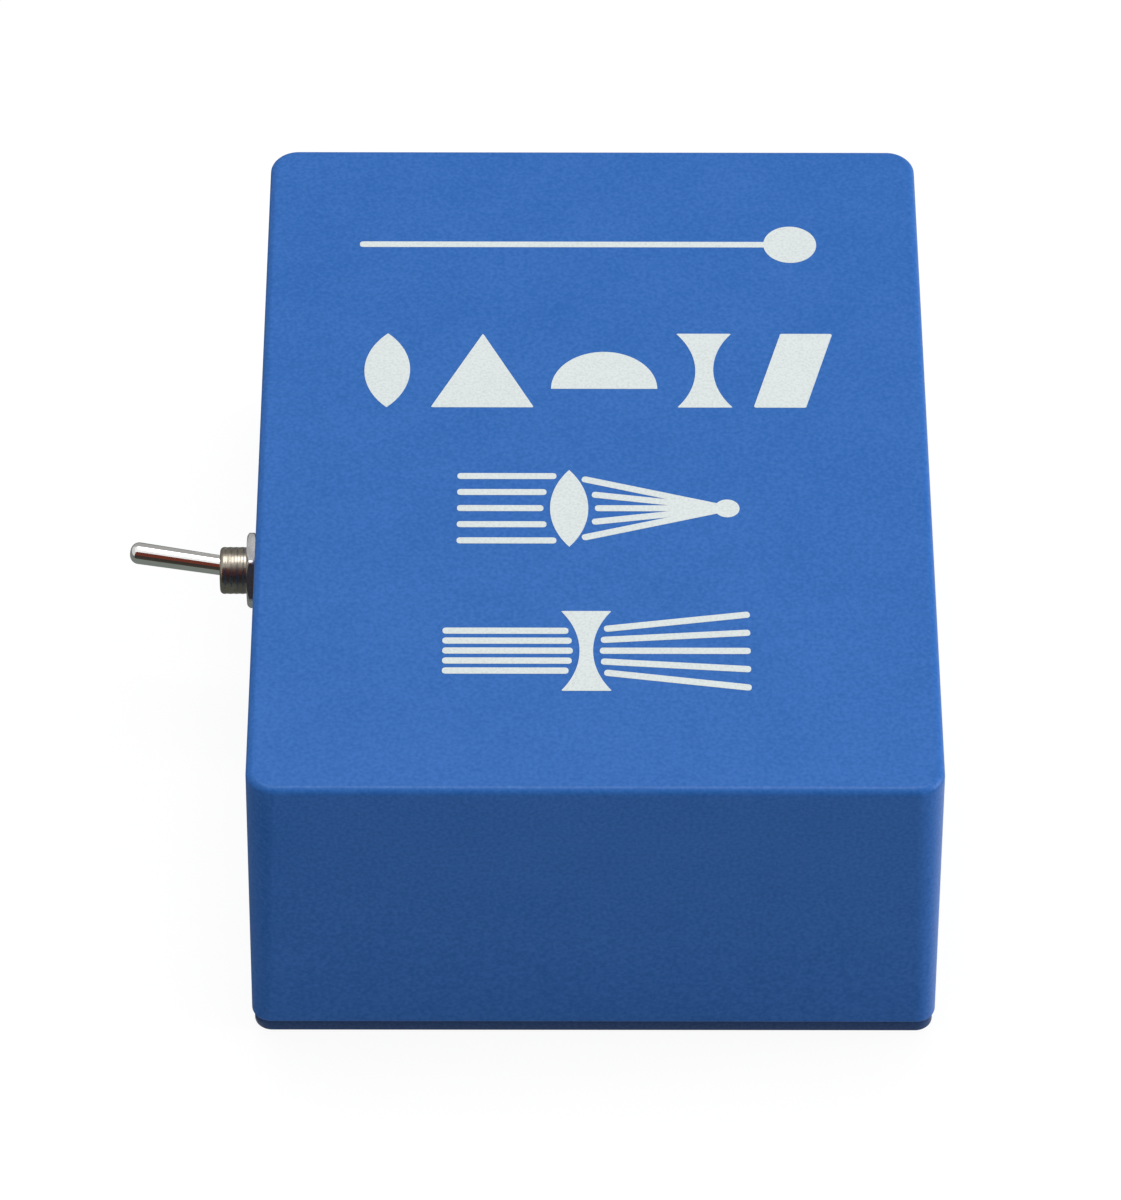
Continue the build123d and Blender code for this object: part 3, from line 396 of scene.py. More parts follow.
class Value:
    """A number in a material, with Python's arithmetic, which adds Math nodes."""

    def __init__(self, sheet: "Sheet", socket: Socket) -> None:
        """Wrap the output socket of a node of a sheet."""
        self.sheet = sheet
        self.socket = socket

    def __add__(self, other: "Number") -> "Value":
        """Sum."""
        return self.sheet.math("ADD", self, other)

    __radd__ = __add__

    def __sub__(self, other: "Number") -> "Value":
        """Difference."""
        return self.sheet.math("SUBTRACT", self, other)

    def __rsub__(self, other: "Number") -> "Value":
        """Difference from a plain number."""
        return self.sheet.math("SUBTRACT", other, self)

    def __mul__(self, other: "Number") -> "Value":
        """Product."""
        return self.sheet.math("MULTIPLY", self, other)

    __rmul__ = __mul__

    def __abs__(self) -> "Value":
        """Size without its sign."""
        return self.sheet.math("ABSOLUTE", self)

    def wave(self, length: float) -> "Value":
        """A sine wave of that length."""
        return self.sheet.math("SINE", self * (2 * pi / length))

    def repeat(self, length: float) -> "Value":
        """The remainder in steps of a length, as a share of it."""
        return self.sheet.math("FRACT", self * (1 / length))

    def swing(self, width: float) -> "Value":
        """A share from 0 to 1 laid round zero, over a width."""
        return (self - 0.5) * width

    def rise(self, low: float, high: float) -> "Value":
        """A soft step from 0 at low to 1 at high."""
        made = self.sheet.node(
            "ShaderNodeMapRange",
            {"interpolation_type": "SMOOTHSTEP"},
            {"Value": self, "From Min": low, "From Max": high},
        )
        return Value(self.sheet, made.outputs["Result"])


Number = Union[float, Value]
Paint = Union[Colour, Socket]
Inputs = Dict[Union[int, str], Any]


class Sheet:
    """The node tree of one material, or of the world, drawn from empty."""

    def __init__(self, owner: Union[bpy.types.Material, bpy.types.World]) -> None:
        """Empty the node tree of a material or of the world.

        Args:
            owner: The material or the world.
        """
        owner.use_nodes = True
        self.owner = owner
        self.tree = owner.node_tree
        self.tree.nodes.clear()

    @property
    def place(self) -> Socket:
        """The place on the object."""
        return self.node("ShaderNodeTexCoord").outputs["Object"]

    def node(
        self, kind: str, settings: Optional[Dict[str, Any]] = None, inputs: Optional[Inputs] = None
    ) -> bpy.types.Node:
        """Add a node.

        Args:
            kind: Its type.
            settings: Its properties, which are set first.
            inputs: Values or links for its sockets, by name or number.

        Returns:
            The new node.
        """
        made = self.tree.nodes.new(kind)
        for key, value in (settings or {}).items():
            setattr(made, key, value)
        for key, value in (inputs or {}).items():
            source = value.socket if isinstance(value, Value) else value
            if isinstance(source, Socket):
                self.tree.links.new(source, made.inputs[key])
            else:
                made.inputs[key].default_value = source
        return made

    def math(self, operation: str, *values: Number) -> Value:
        """Add a Math node over one or two values."""
        made = self.node("ShaderNodeMath", {"operation": operation}, dict(enumerate(values)))
        return Value(self, made.outputs[0])

    def along(self) -> Tuple[Value, Value, Value]:
        """The three coordinates of the place on the object, in metres."""
        split = self.node("ShaderNodeSeparateXYZ", inputs={0: self.place})
        return tuple(Value(self, output) for output in split.outputs)

    def noise(self, size: float, detail: float = 2.0, stretch: Place = (1, 1, 1)) -> Value:
        """Soft noise between 0 and 1.

        Args:
            size: Length of its main waves.
            detail: How many finer waves are laid over them.
            stretch: Density along each axis, as a share of the usual one.

        Returns:
            The noise's value.
        """
        density = [share / size for share in stretch]
        scaled = self.node("ShaderNodeVectorMath", {"operation": "MULTIPLY"}, {0: self.place, 1: density})
        inputs = {"Vector": scaled.outputs[0], "Scale": 1.0, "Detail": detail}
        made = self.node("ShaderNodeTexNoise", {"noise_dimensions": "3D"}, inputs)
        return Value(self, made.outputs["Fac"])

    def mix(self, share: Number, first: Paint, second: Paint) -> Socket:
        """Mix two colours, by the share of the second."""
        made = self.node("ShaderNodeMix", {"data_type": "RGBA"}, {0: share, 6: first, 7: second})
        return made.outputs[2]

    def relief(self, height: Value, depth: float) -> Socket:
        """The normal of bumps, from a height between 0 and 1 and how deep a height of 1 is."""
        inputs = {"Strength": 1.0, "Distance": depth, "Height": height}
        return self.node("ShaderNodeBump", inputs=inputs).outputs["Normal"]

    def background_seen(self) -> Value:
        """1 on rays that show the background: to the eye, in a mirror or through glass.

        Returns:
            The switch between what the background shows and what lights the box.
        """
        path = self.node("ShaderNodeLightPath")
        kinds = ("Is Camera Ray", "Is Glossy Ray", "Is Transmission Ray")
        camera, mirrored, through = (Value(self, path.outputs[kind]) for kind in kinds)
        return self.math("MINIMUM", camera + mirrored + through, 1.0)

    def close(self, shader: bpy.types.Node, output: str = "ShaderNodeOutputMaterial") -> None:
        """Lead a shader to the sheet's output."""
        self.node(output, inputs={"Surface": shader.outputs[0]})

    def blend(self, share: Value, first: bpy.types.Node, second: bpy.types.Node) -> bpy.types.Node:
        """Mix two shaders, by the share of the second."""
        inputs = {0: share, 1: first.outputs[0], 2: second.outputs[0]}
        return self.node("ShaderNodeMixShader", inputs=inputs)

    def surface(self, **inputs: Any) -> None:
        """Close the sheet with the surface shader, its sockets named with underscores for spaces."""
        named = {key.replace("_", " "): value for key, value in inputs.items()}
        self.close(self.node("ShaderNodeBsdfPrincipled", inputs=named))


# ---------------------------------------------------------------------------------------- finishes


def shade(colour: Colour, share: float, white: float = 0.0) -> Colour:
    """A colour made darker or lighter by a share, with a little white added or taken away."""
    red, green, blue = (max(0.0, min(1.0, channel * share + white)) for channel in colour[:3])
    return (red, green, blue, 1.0)


@dataclass(frozen=True)
class Finish:
    """A surface finish, whose material is made when it is first asked for."""

    name: str
    colour: Colour

    def draw(self, sheet: Sheet) -> None:
        """Draw the finish on an empty sheet."""
        raise NotImplementedError

    def material(self) -> bpy.types.Material:
        """The finish's material, drawn when it is first asked for.

        Returns:
            The material.
        """
        made = bpy.data.materials.get(self.name)
        if made is None:
            made = bpy.data.materials.new(self.name)
            self.draw(Sheet(made))
        return made


@dataclass(frozen=True)
class MouldedPlastic(Finish):
    """Moulded plastic with the fine grain of an eroded mould."""

    roughness: float = 0.5
    gloss: float = 0.5
    grain: float = 0.28 * MM
    grain_depth: float = 0.012 * MM
    fleck: float = 0.476 * MM
    fleck_tone: float = 2.4
    mottle: float = 0.075
    sparkle: float = 0.008
    cloud: float = 9 * MM
    cloud_tone: float = 0.5
    grain_roughness: float = 0.22
    cloud_roughness: float = 0.06

    def draw(self, sheet: Sheet) -> None:
        """Draw fine pits that catch light and dark, under broad and very faint clouds.

        Args:
            sheet: The empty sheet.
        """
        grain = sheet.noise(self.grain)
        fleck = sheet.noise(self.fleck, 3.0)
        cloud = sheet.noise(self.cloud)
        tone = fleck.swing(self.fleck_tone) + cloud.swing(self.cloud_tone) + 0.5
        pale = shade(self.colour, 1 + self.mottle, self.sparkle)
        deep = shade(self.colour, 1 - self.mottle, -self.sparkle)
        pits = grain.swing(self.grain_roughness)
        sheet.surface(
            Base_Color=sheet.mix(tone, deep, pale),
            Roughness=self.roughness + pits + cloud.swing(self.cloud_roughness),
            Specular_IOR_Level=self.gloss,
            Normal=sheet.relief(grain, self.grain_depth),
        )


@dataclass(frozen=True)
class PrintedInk(Finish):
    """Screen-printed ink, a little uneven where the screen let it through."""

    mesh: float = 0.34 * MM
    cloud: float = 5 * MM
    thin_tone: float = 0.86
    roughness: float = 0.52

    def draw(self, sheet: Sheet) -> None:
        """Draw faint thin spots and the grain of the plastic below.

        Args:
            sheet: The empty sheet.
        """
        thin = sheet.noise(self.mesh, 3.0)
        cloud = sheet.noise(self.cloud, 1.0)
        tone = thin.rise(0.28, 0.62) * 0.9 + cloud.swing(0.4)
        sheet.surface(
            Base_Color=sheet.mix(tone, shade(self.colour, self.thin_tone), self.colour),
            Roughness=self.roughness + thin.swing(0.2),
            Specular_IOR_Level=0.4,
            Normal=sheet.relief(thin, 0.008 * MM),
        )


@dataclass(frozen=True)
class BrightMetal(Finish):
    """Polished or plated metal with a trace of handling."""

    roughness: float = 0.06
    smudge: float = 0.08
    smudge_size: float = 1.6 * MM
    hair_size: float = 0.5 * MM
    hair_stretch: Place = (0.12, 3.0, 3.0)
    hair_depth: float = 0.0004 * MM

    def draw(self, sheet: Sheet) -> None:
        """Draw a mirror with faint smudges and hairline polishing marks.

        Args:
            sheet: The empty sheet.
        """
        smudge = sheet.noise(self.smudge_size, 4.0).rise(0.45, 0.75)
        hair = sheet.noise(self.hair_size, 2.0, self.hair_stretch)
        sheet.surface(
            Base_Color=sheet.mix(smudge, self.colour, shade(self.colour, 0.93)),
            Metallic=1.0,
            Roughness=self.roughness + smudge * self.smudge + hair.swing(0.03),
            Normal=sheet.relief(hair, self.hair_depth),
        )


@dataclass(frozen=True)
class PlatedMetal(Finish):
    """Turned or stamped metal under a dull plate, with tool marks and tarnish."""

    tarnish: Colour = (0.3, 0.26, 0.2, 1.0)
    roughness: float = 0.28
    spread: float = 0.35
    patch_size: float = 1.3 * MM
    marks: float = 0.12 * MM
    marks_stretch: Place = (1.0, 0.12, 0.12)
    marks_depth: float = 0.002 * MM

    def draw(self, sheet: Sheet) -> None:
        """Draw fine tool marks across the turning axis, and tarnish in patches.

        Args:
            sheet: The empty sheet.
        """
        patch = sheet.noise(self.patch_size, 4.0).rise(0.4, 0.78)
        lines = sheet.noise(self.marks, 1.0, self.marks_stretch)
        sheet.surface(
            Base_Color=sheet.mix(patch * self.spread, self.colour, self.tarnish),
            Metallic=1.0,
            Roughness=self.roughness + patch * 0.12 + lines.swing(0.1),
            Normal=sheet.relief(lines, self.marks_depth),
        )


@dataclass(frozen=True)
class Anodised(Finish):
    """Black anodised aluminium over a fine blasted grain."""

    grain: float = 0.09 * MM
    grain_depth: float = 0.004 * MM
    cloud: float = 6 * MM
    roughness: float = 0.42

    def draw(self, sheet: Sheet) -> None:
        """A soft sheen with a fine even grain.

        Args:
            sheet: The empty sheet.
        """
        grain = sheet.noise(self.grain)
        cloud = sheet.noise(self.cloud)
        sheet.surface(
            Base_Color=sheet.mix(cloud, self.colour, shade(self.colour, 1.5)),
            Metallic=0.6,
            Roughness=self.roughness + grain.swing(0.2),
            Normal=sheet.relief(grain, self.grain_depth),
        )


@dataclass(frozen=True)
class LensGlass(Finish):
    """Clear optical glass with a coated face."""

    index: float = 1.52
    dust: float = 0.25 * MM

    def draw(self, sheet: Sheet) -> None:
        """Clear glass with a breath of dust.

        Args:
            sheet: The empty sheet.
        """
        dust = sheet.noise(self.dust, 3.0).rise(0.62, 0.8)
        sheet.surface(
            Base_Color=sheet.mix(dust, self.colour, shade(self.colour, 0.92)),
            Roughness=0.01 + dust * 0.08,
            IOR=self.index,
            Transmission_Weight=1.0,
        )


@dataclass(frozen=True)
class CircuitBoard(Finish):
    """Glass-epoxy board under a green mask, with copper runs showing through."""

    run_pitch: float = 2.54 * MM
    run_share: float = 0.32
    run_edge: float = 0.06
    run_length: float = 11 * MM
    weave: float = 0.5 * MM
    relief: float = 0.03 * MM

    def draw(self, sheet: Sheet) -> None:
        """Runs along the board, paler than the ground, and the weave of the glass.

        Args:
            sheet: The empty sheet.
        """
        _, across, up = sheet.along()
        half = self.run_share / 2
        run = 1 - abs(up.repeat(self.run_pitch) - 0.5).rise(half, half + self.run_edge)
        copper = run * sheet.noise(self.run_length, 0.0, (1, 1, 3)).rise(0.48, 0.52)
        weave = (across.wave(self.weave) + up.wave(self.weave)) * 0.25 + 0.5
        sheet.surface(
            Base_Color=sheet.mix(copper, shade(self.colour, 0.75), shade(self.colour, 1.7)),
            Roughness=0.3 + weave * 0.08,
            Coat_Weight=0.4,
            Normal=sheet.relief(copper * 0.7 + weave * 0.3, self.relief),
        )


@dataclass(frozen=True)
class Sleeve(Finish):
    """A shrunk plastic sleeve with one band of a second colour across its axis."""

    band_colour: Colour = (0.45, 0.45, 0.46, 1.0)
    band_start: float = 0.0
    band_end: float = 1.0
    axis: int = 1
    edge: float = 0.05 * MM
    ripple: float = 2.2 * MM
    ripple_depth: float = 0.02 * MM

    def draw(self, sheet: Sheet) -> None:
        """A glossy film with faint ripples, in two colours.

        Args:
            sheet: The empty sheet.
        """
        along = sheet.along()[self.axis]
        start, end = (along.rise(z - self.edge, z + self.edge) for z in (self.band_start, self.band_end))
        band = start * (1 - end)
        ripple = sheet.noise(self.ripple)
        sheet.surface(
            Base_Color=sheet.mix(band, self.colour, self.band_colour),
            Roughness=0.24 + ripple.swing(0.12),
            Coat_Weight=0.3,
            Normal=sheet.relief(ripple, self.ripple_depth),
        )


@dataclass(frozen=True)
class Insulation(Finish):
    """Soft insulation of a thin lead."""

    marks: float = 0.2 * MM
    marks_depth: float = 0.006 * MM
    dust: float = 3 * MM

    def draw(self, sheet: Sheet) -> None:
        """A satin skin with drawing marks and a little dust.

        Args:
            sheet: The empty sheet.
        """
        marks = sheet.noise(self.marks)
        dust = sheet.noise(self.dust, 3.0).rise(0.5, 0.8)
        sheet.surface(
            Base_Color=sheet.mix(dust * 0.3, self.colour, shade(self.colour, 1.4)),
            Roughness=0.4 + marks.swing(0.15),
            Normal=sheet.relief(marks, self.marks_depth),
        )


BLUE_ABS = MouldedPlastic("blue_moulded_abs", (0.022, 0.129, 0.442, 1.0), roughness=0.42, gloss=0.24)
# Painted shade: the cover's blue is darkened well below the case's, for the shade at the foot of the walls.
SHADE_DARKENED_COVER_ABS = MouldedPlastic("cover_abs_darkened_by_painted_shade", (0.008, 0.044, 0.148, 1.0), roughness=0.5, gloss=0.24)
WHITE_INK = PrintedInk("white_print_ink", (0.70, 0.76, 0.76, 1.0))
CHROME = BrightMetal("lever_chrome", (0.86, 0.86, 0.85, 1.0))
NICKEL = PlatedMetal("dull_nickel_plate", (0.62, 0.62, 0.64, 1.0), roughness=0.16, spread=0.2)
AGED_NICKEL = PlatedMetal("aged_nickel_thread", (0.33, 0.3, 0.25, 1.0), (0.14, 0.11, 0.08, 1.0), 0.25)

FINISHES: Dict[str, Finish] = {
    "case_plastic": BLUE_ABS,
    "chrome": CHROME,
    "nickel": NICKEL,
    "black_aluminium": Anodised("black_anodised_block", (0.018, 0.018, 0.02, 1.0)),
    "brass": PlatedMetal("turned_brass", (0.78, 0.55, 0.25, 1.0), (0.36, 0.2, 0.07, 1.0), 0.22),
    "zinc_steel": PlatedMetal("zinc_plated_steel", (0.68, 0.7, 0.72, 1.0), (0.5, 0.47, 0.33, 1.0), 0.3),
    "magnet": PlatedMetal("nickel_plated_magnet", (0.66, 0.64, 0.6, 1.0), marks=0.4 * MM),
    "glass": LensGlass("coated_lens_glass", (0.93, 0.97, 0.96, 1.0)),
    "gold_metal": BrightMetal("gold_plated_can", (0.9, 0.66, 0.3, 1.0), 0.12),
    "board": CircuitBoard("green_circuit_board", (0.02, 0.16, 0.07, 1.0)),
    "black_plastic": MouldedPlastic("black_moulded_plastic", (0.016, 0.016, 0.018, 1.0), roughness=0.42),
    "red_plastic": MouldedPlastic("red_switch_plastic", (0.42, 0.02, 0.015, 1.0), roughness=0.38),
    "capacitor_sleeve": Sleeve(
        "capacitor_sleeve_film", (0.012, 0.02, 0.06, 1.0), band_start=-25.2 * MM, band_end=-22 * MM
    ),
    "spring_steel": PlatedMetal("spring_steel_plate", (0.7, 0.69, 0.66, 1.0), roughness=0.2, spread=0.15),
    "cell_jacket": Sleeve(
        "dry_cell_jacket", (0.03, 0.03, 0.034, 1.0), (0.55, 0.38, 0.16, 1.0), 8 * MM, 40 * MM
    ),
    "red_insulation": Insulation("red_lead_insulation", (0.5, 0.02, 0.015, 1.0)),
    "black_insulation": Insulation("black_lead_insulation", (0.015, 0.015, 0.016, 1.0)),
}


# ------------------------------------------------------------------------------------ case and cover


def middle_of(node: str) -> Vector:
    """Middle of a CAD node's box."""
    low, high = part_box(node)
    return (low + high) / 2


def spread_of(node: str, inset: float) -> List[Vector]:
    """The four axes of round pieces that stand in the corners of a node's box.

    Args:
        node: The CAD node of the round pieces.
        inset: Their radius.

    Returns:
        A point on each axis, at height zero.
    """
    low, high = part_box(node)
    xs = (low.x + inset, high.x - inset)
    ys = (low.y + inset, high.y - inset)
    return [Vector((x, y, 0)) for x in xs for y in ys]


@dataclass(frozen=True)
class Post:
    """A post for a screw: where it stands, the heights of its foot and its pilot's end, and both radii."""

    axis: Vector
    foot: float
    pilot_end: float
    radius: float
    pilot_radius: float


@dataclass
class CaseShell:
    """The blue case: top and walls in one moulding, with posts inside and holes in two walls."""

    wall: float = 2.2 * MM
    draft: float = radians(0.5)
    corner_radius: float = 3.5 * MM
    foot_corner_radius: float = 2.4 * MM
    inner_corner_radius: float = 1.3 * MM
    edge_radius: float = 0.9 * MM
    foot_radius: float = 0.2 * MM
    corner_steps: int = 18
    edge_steps: int = 6
    foot_steps: int = 3
    post_radius: float = 4.0 * MM
    post_root: float = 1.0 * MM
    inner_post_radius: float = 3.5 * MM
    pilot_radius: float = 1.5 * MM
    holder_pilot_radius: float = 1.25 * MM
    pilot_spare: float = 2.0 * MM
    aperture_radius: float = 2.0 * MM
    rim_radius: float = 2.6 * MM
    switch_hole_radius: float = 3.1 * MM
    cover_screw_head: float = 2.65 * MM
    block_screw_head: float = 2.75 * MM
    holder_screw_head: float = 2.2 * MM
    beams: int = 5

    def build(self) -> Piece:
        """Model the shell, from a block to the last hole.

        Returns:
            The finished shell.
        """
        self.low, self.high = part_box("housing")
        self.ceiling = self.high.z - self.wall
        shell = self.body()
        self.hollow(shell)
        self.add_posts(shell)
        self.open_walls(shell)
        Bench.smooth(shell)
        return shell

    def lean(self, height: float) -> float:
        """How far a wall leans in at a height."""
        return (height - self.low.z) * tan(self.draft)

    def taper(self, height: float, inset: float) -> None:
        """Draw the selected face in by the walls' draft.

        Args:
            height: Height of the face.
            inset: How far its sides stand back from the foot's outline before.
        """
        sizes = [high - low - 2 * inset for low, high in zip(self.low.xy, self.high.xy)]
        shares = [1 - 2 * self.lean(height) / size for size in sizes]
        bpy.ops.transform.resize(value=(*shares, 1), center_override=(0, 0, height))

    def body(self) -> Piece:
        """The solid outside of the case: drafted walls, round corners, softened top and foot.

        Returns:
            The outside, not yet hollow.
        """
        top, foot = self.high.z - WELD_GAP, self.low.z + WELD_GAP
        shell = Bench.block("case_shell", self.low, self.high)
        with Bench.picked(shell, Select.FACES, lambda middle, normal: normal.z > 0.9):
            self.taper(self.high.z, 0)
        Bench.round_edges(shell, self.corner_radius, self.corner_steps, upright)
        self.reshape_corners(shell, 0, self.corner_radius, self.foot_corner_radius)
        Bench.round_edges(shell, self.edge_radius, self.edge_steps, lambda middle, way: middle.z > top)
        Bench.round_edges(shell, self.foot_radius, self.foot_steps, lambda middle, way: middle.z < foot)
        return shell

    def reshape_corners(self, shell: Piece, inset: float, before: float, after: float) -> None:
        """Give the four corners of a ring in the foot another radius.

        Args:
            shell: The shell.
            inset: How far the ring's sides stand back from the foot's outline.
            before: The corners' radius before.
            after: The corners' radius after.
        """
        foot = self.low.z + WELD_GAP
        half_x, half_y = self.high.x - inset, self.high.y - inset
        share = after / before
        for side_x, side_y in ((-1, -1), (-1, 1), (1, -1), (1, 1)):

            def in_corner(middle: Vector, way: Vector) -> bool:
                """Whether an edge of the foot lies in this corner's square."""
                gaps = (half_x - side_x * middle.x, half_y - side_y * middle.y)
                return middle.z < foot and all(-WELD_GAP < gap < before for gap in gaps)

            corner = (side_x * half_x, side_y * half_y, self.low.z)
            Bench.stretch(shell, Select.EDGES, in_corner, (share, share, 1), corner)

    def hollow(self, shell: Piece) -> None:
        """Sink the inside from below, with the same draft, and leave the walls and the top standing.

        Args:
            shell: The shell.
        """
        foot = self.low.z + WELD_GAP
        with Bench.picked(shell, Select.FACES, lambda middle, normal: middle.z < foot):
            bpy.ops.mesh.inset(thickness=self.wall - self.foot_radius, use_even_offset=True)
        inset_radius = self.foot_corner_radius - self.wall
        self.reshape_corners(shell, self.wall, inset_radius, self.inner_corner_radius)
        depth = (0, 0, self.ceiling - self.low.z)
        with Bench.picked(shell, Select.FACES, lambda middle, way: middle.z < foot and middle.xy.length < MM):
            bpy.ops.mesh.extrude_region_move(TRANSFORM_OT_translate={"value": depth})
            self.taper(self.ceiling, self.wall)

    def posts(self) -> List[Post]:
        """Work out the posts from the screws that they hold.

        Returns:
            Four posts for the cover, two for the emitter block and two for the battery holder.
        """
        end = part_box("cover_screws")[1].z + self.pilot_spare
        corners = spread_of("cover_screws", self.cover_screw_head)
        made = [Post(axis, self.low.z, end, self.post_radius, self.pilot_radius) for axis in corners]
        seat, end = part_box("emitter_block")[1].z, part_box("emitter_block_screws")[1].z + self.pilot_spare
        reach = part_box("emitter_block_screws")[1].y - self.block_screw_head
        for y in (-reach, reach):
            axis = Vector((middle_of("emitter_block_screws").x, y, 0))
            made.append(Post(axis, seat, end, self.inner_post_radius, self.pilot_radius))
        low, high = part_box("battery_holder_screws")
        seat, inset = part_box("battery_holder")[1].z, self.holder_screw_head
        for x, y in ((low.x + inset, low.y + inset), (high.x - inset, high.y - inset)):
            post = Post(Vector((x, y, 0)), seat, high.z, self.inner_post_radius, self.holder_pilot_radius)
            made.append(post)
        return made

    def add_posts(self, shell: Piece) -> None:
        """Weld on the posts that hang from the top, and drill them for their screws.

        Args:
            shell: The shell.
        """
        root = UP * (self.ceiling + self.post_root)
        posts, pilots = [], []
        for post in self.posts():
            foot, end = post.axis + UP * post.foot, post.axis + UP * post.pilot_end
            posts.append(Bench.rod("post", foot, post.axis + root, post.radius))
            pilots.append(Bench.rod("pilot", foot - UP * MM, end, post.pilot_radius, 32))
        Bench.put(shell, Merge.WELD, posts)
        Bench.put(shell, Merge.CUT, pilots)

    def open_walls(self, shell: Piece) -> None:
        """Open the five beam apertures, with their rims, and the switch's hole.

        Args:
            shell: The shell.
        """
        cone = self.rim_radius - self.aperture_radius
        profile = [
            (-2 * self.wall, self.aperture_radius),
            (-cone, self.aperture_radius),
            (cone, self.rim_radius + cone),
        ]
        tools = []
        for number in range(1, self.beams + 1):
            beam = middle_of(f"line_lens_{number}")
            face = Vector((self.high.x - self.lean(beam.z), beam.y, beam.z))
            tools.append(Bench.turned("aperture", face, Vector((1, 0, 0)), profile, 64))
        switch = middle_of("lock_washer")
        wall, reach = Vector((self.low.x, switch.y, switch.z)), Vector((2 * self.wall, 0, 0))
        tools.append(Bench.rod("switch_hole", wall - reach, wall + reach, self.switch_hole_radius))
        Bench.put(shell, Merge.CUT, tools)


@dataclass
class BaseCover:
    """The flat cover under the case, with its lips, magnet rings and countersunk holes."""

    thickness: float = 2.0 * MM
    corner_radius: float = 2.1 * MM
    edge_radius: float = 0.3 * MM
    seam_radius: float = 0.2 * MM
    corner_steps: int = 18
    edge_steps: int = 4
    seam_steps: int = 3
    lip: float = 1.5 * MM
    lip_clearance: float = 0.15 * MM
    lip_half_x: float = 28.2 * MM
    lip_half_y: float = 42.7 * MM
    wall: float = 2.2 * MM
    ring_wall: float = 1.2 * MM
    magnet_radius: float = 5.0 * MM
    magnet_clearance: float = 0.05 * MM
    screw_head: float = 2.65 * MM
    screw_recess: float = 0.2 * MM
    screw_hole: float = 1.6 * MM

    def build(self) -> Piece:
        """Model the cover from a plate.

        Returns:
            The finished cover.
        """
        low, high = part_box("base_cover")
        top = low.z + self.thickness
        cover = Bench.block("base_plate", low, Vector((high.x, high.y, top)))
        Bench.round_edges(cover, self.corner_radius, self.corner_steps, upright)
        foot, rim = low.z + WELD_GAP, top - WELD_GAP
        Bench.round_edges(cover, self.edge_radius, self.edge_steps, lambda middle, way: middle.z < foot)
        Bench.round_edges(cover, self.seam_radius, self.seam_steps, lambda middle, way: middle.z > rim)
        root = Vector((0, 0, top - self.lip / 2))
        Bench.put(cover, Merge.WELD, self.lips(root, top + self.lip))
        magnets = spread_of("board_magnets", self.magnet_radius)
        ring = self.magnet_radius + self.ring_wall
        rings = [Bench.rod("ring", axis + root, axis + UP * high.z, ring) for axis in magnets]
        Bench.put(cover, Merge.WELD, rings)
        Bench.put(cover, Merge.CUT, self.pockets(magnets, high.z) + self.countersinks(low.z))
        Bench.smooth(cover)
        return cover

    def lips(self, root: Vector, top: float) -> List[Piece]:
        """The four lips that locate the cover inside the walls.

        Args:
            root: A point at the height where they start inside the plate.
            top: Height of their upper edge.

        Returns:
            The four blocks.
        """
        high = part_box("housing")[1]
        inset = self.wall + self.lip_clearance + self.lip / 2
        made = []
        for side in (-1, 1):
            x, y = side * (high.x - inset), side * (high.y - inset)
            for centre, half in (
                (Vector((x, 0, 0)), Vector((self.lip / 2, self.lip_half_y, 0))),
                (Vector((0, y, 0)), Vector((self.lip_half_x, self.lip / 2, 0))),
            ):
                made.append(Bench.block("lip", centre - half + root, centre + half + UP * top))
        return made

    def pockets(self, magnets: List[Vector], top: float) -> List[Piece]:
        """Tools for the magnets' pockets."""
        floor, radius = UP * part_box("board_magnets")[0].z, self.magnet_radius + self.magnet_clearance
        return [Bench.rod("pocket", axis + floor, axis + UP * (top + MM), radius) for axis in magnets]

    def countersinks(self, foot: float) -> List[Piece]:
        """Tools for the countersunk screw holes, which open downwards.

        Args:
            foot: Height of the cover's underside.

        Returns:
            The four tools.
        """
        rim = self.screw_head + self.screw_recess
        profile = [
            (-MM, rim + MM),
            (rim - self.screw_hole, self.screw_hole),
            (self.thickness + MM, self.screw_hole),
        ]
        axes = spread_of("cover_screws", self.screw_head)
        return [Bench.turned("countersink", axis + UP * foot, UP, profile, 64) for axis in axes]


@dataclass
class CoverScrews:
    """Four countersunk screws with cross recesses, seen under the cover."""

    head_radius: float = 2.65 * MM
    shank_radius: float = 1.45 * MM
    arm: float = 1.45 * MM
    slot: float = 0.74 * MM
    recess: float = 1.05 * MM
    edge: float = 0.12 * MM

    def build(self) -> Piece:
        """Turn one screw, cut its recess and copy it to the four corners.

        Returns:
            The four screws as one piece.
        """
        low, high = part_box("cover_screws")
        axes = spread_of("cover_screws", self.head_radius)
        foot = axes[0] + UP * low.z
        cone, edge = self.head_radius - self.shank_radius, self.edge
        profile = [
            (0, self.head_radius - edge),
            (edge, self.head_radius - edge / 4),
            (cone, self.shank_radius),
            (high.z - low.z - 2 * edge, self.shank_radius),
            (high.z - low.z, self.shank_radius - 2 * edge),
        ]
        screw = Bench.turned("cover_screw_set", foot, UP, profile, 64)
        low_end, high_end = foot - UP * self.recess, foot + UP * self.recess
        for half in (Vector((self.arm, self.slot / 2, 0)), Vector((self.slot / 2, self.arm, 0))):
            Bench.put(screw, Merge.CUT, [Bench.block("cross", low_end - half, high_end + half)])
        Bench.smooth(screw)
        return Bench.join("cover_screw_set", Bench.copies(screw, [a - axes[0] for a in axes[1:]]))


# ----------------------------------------------------------------------------------- the lever switch


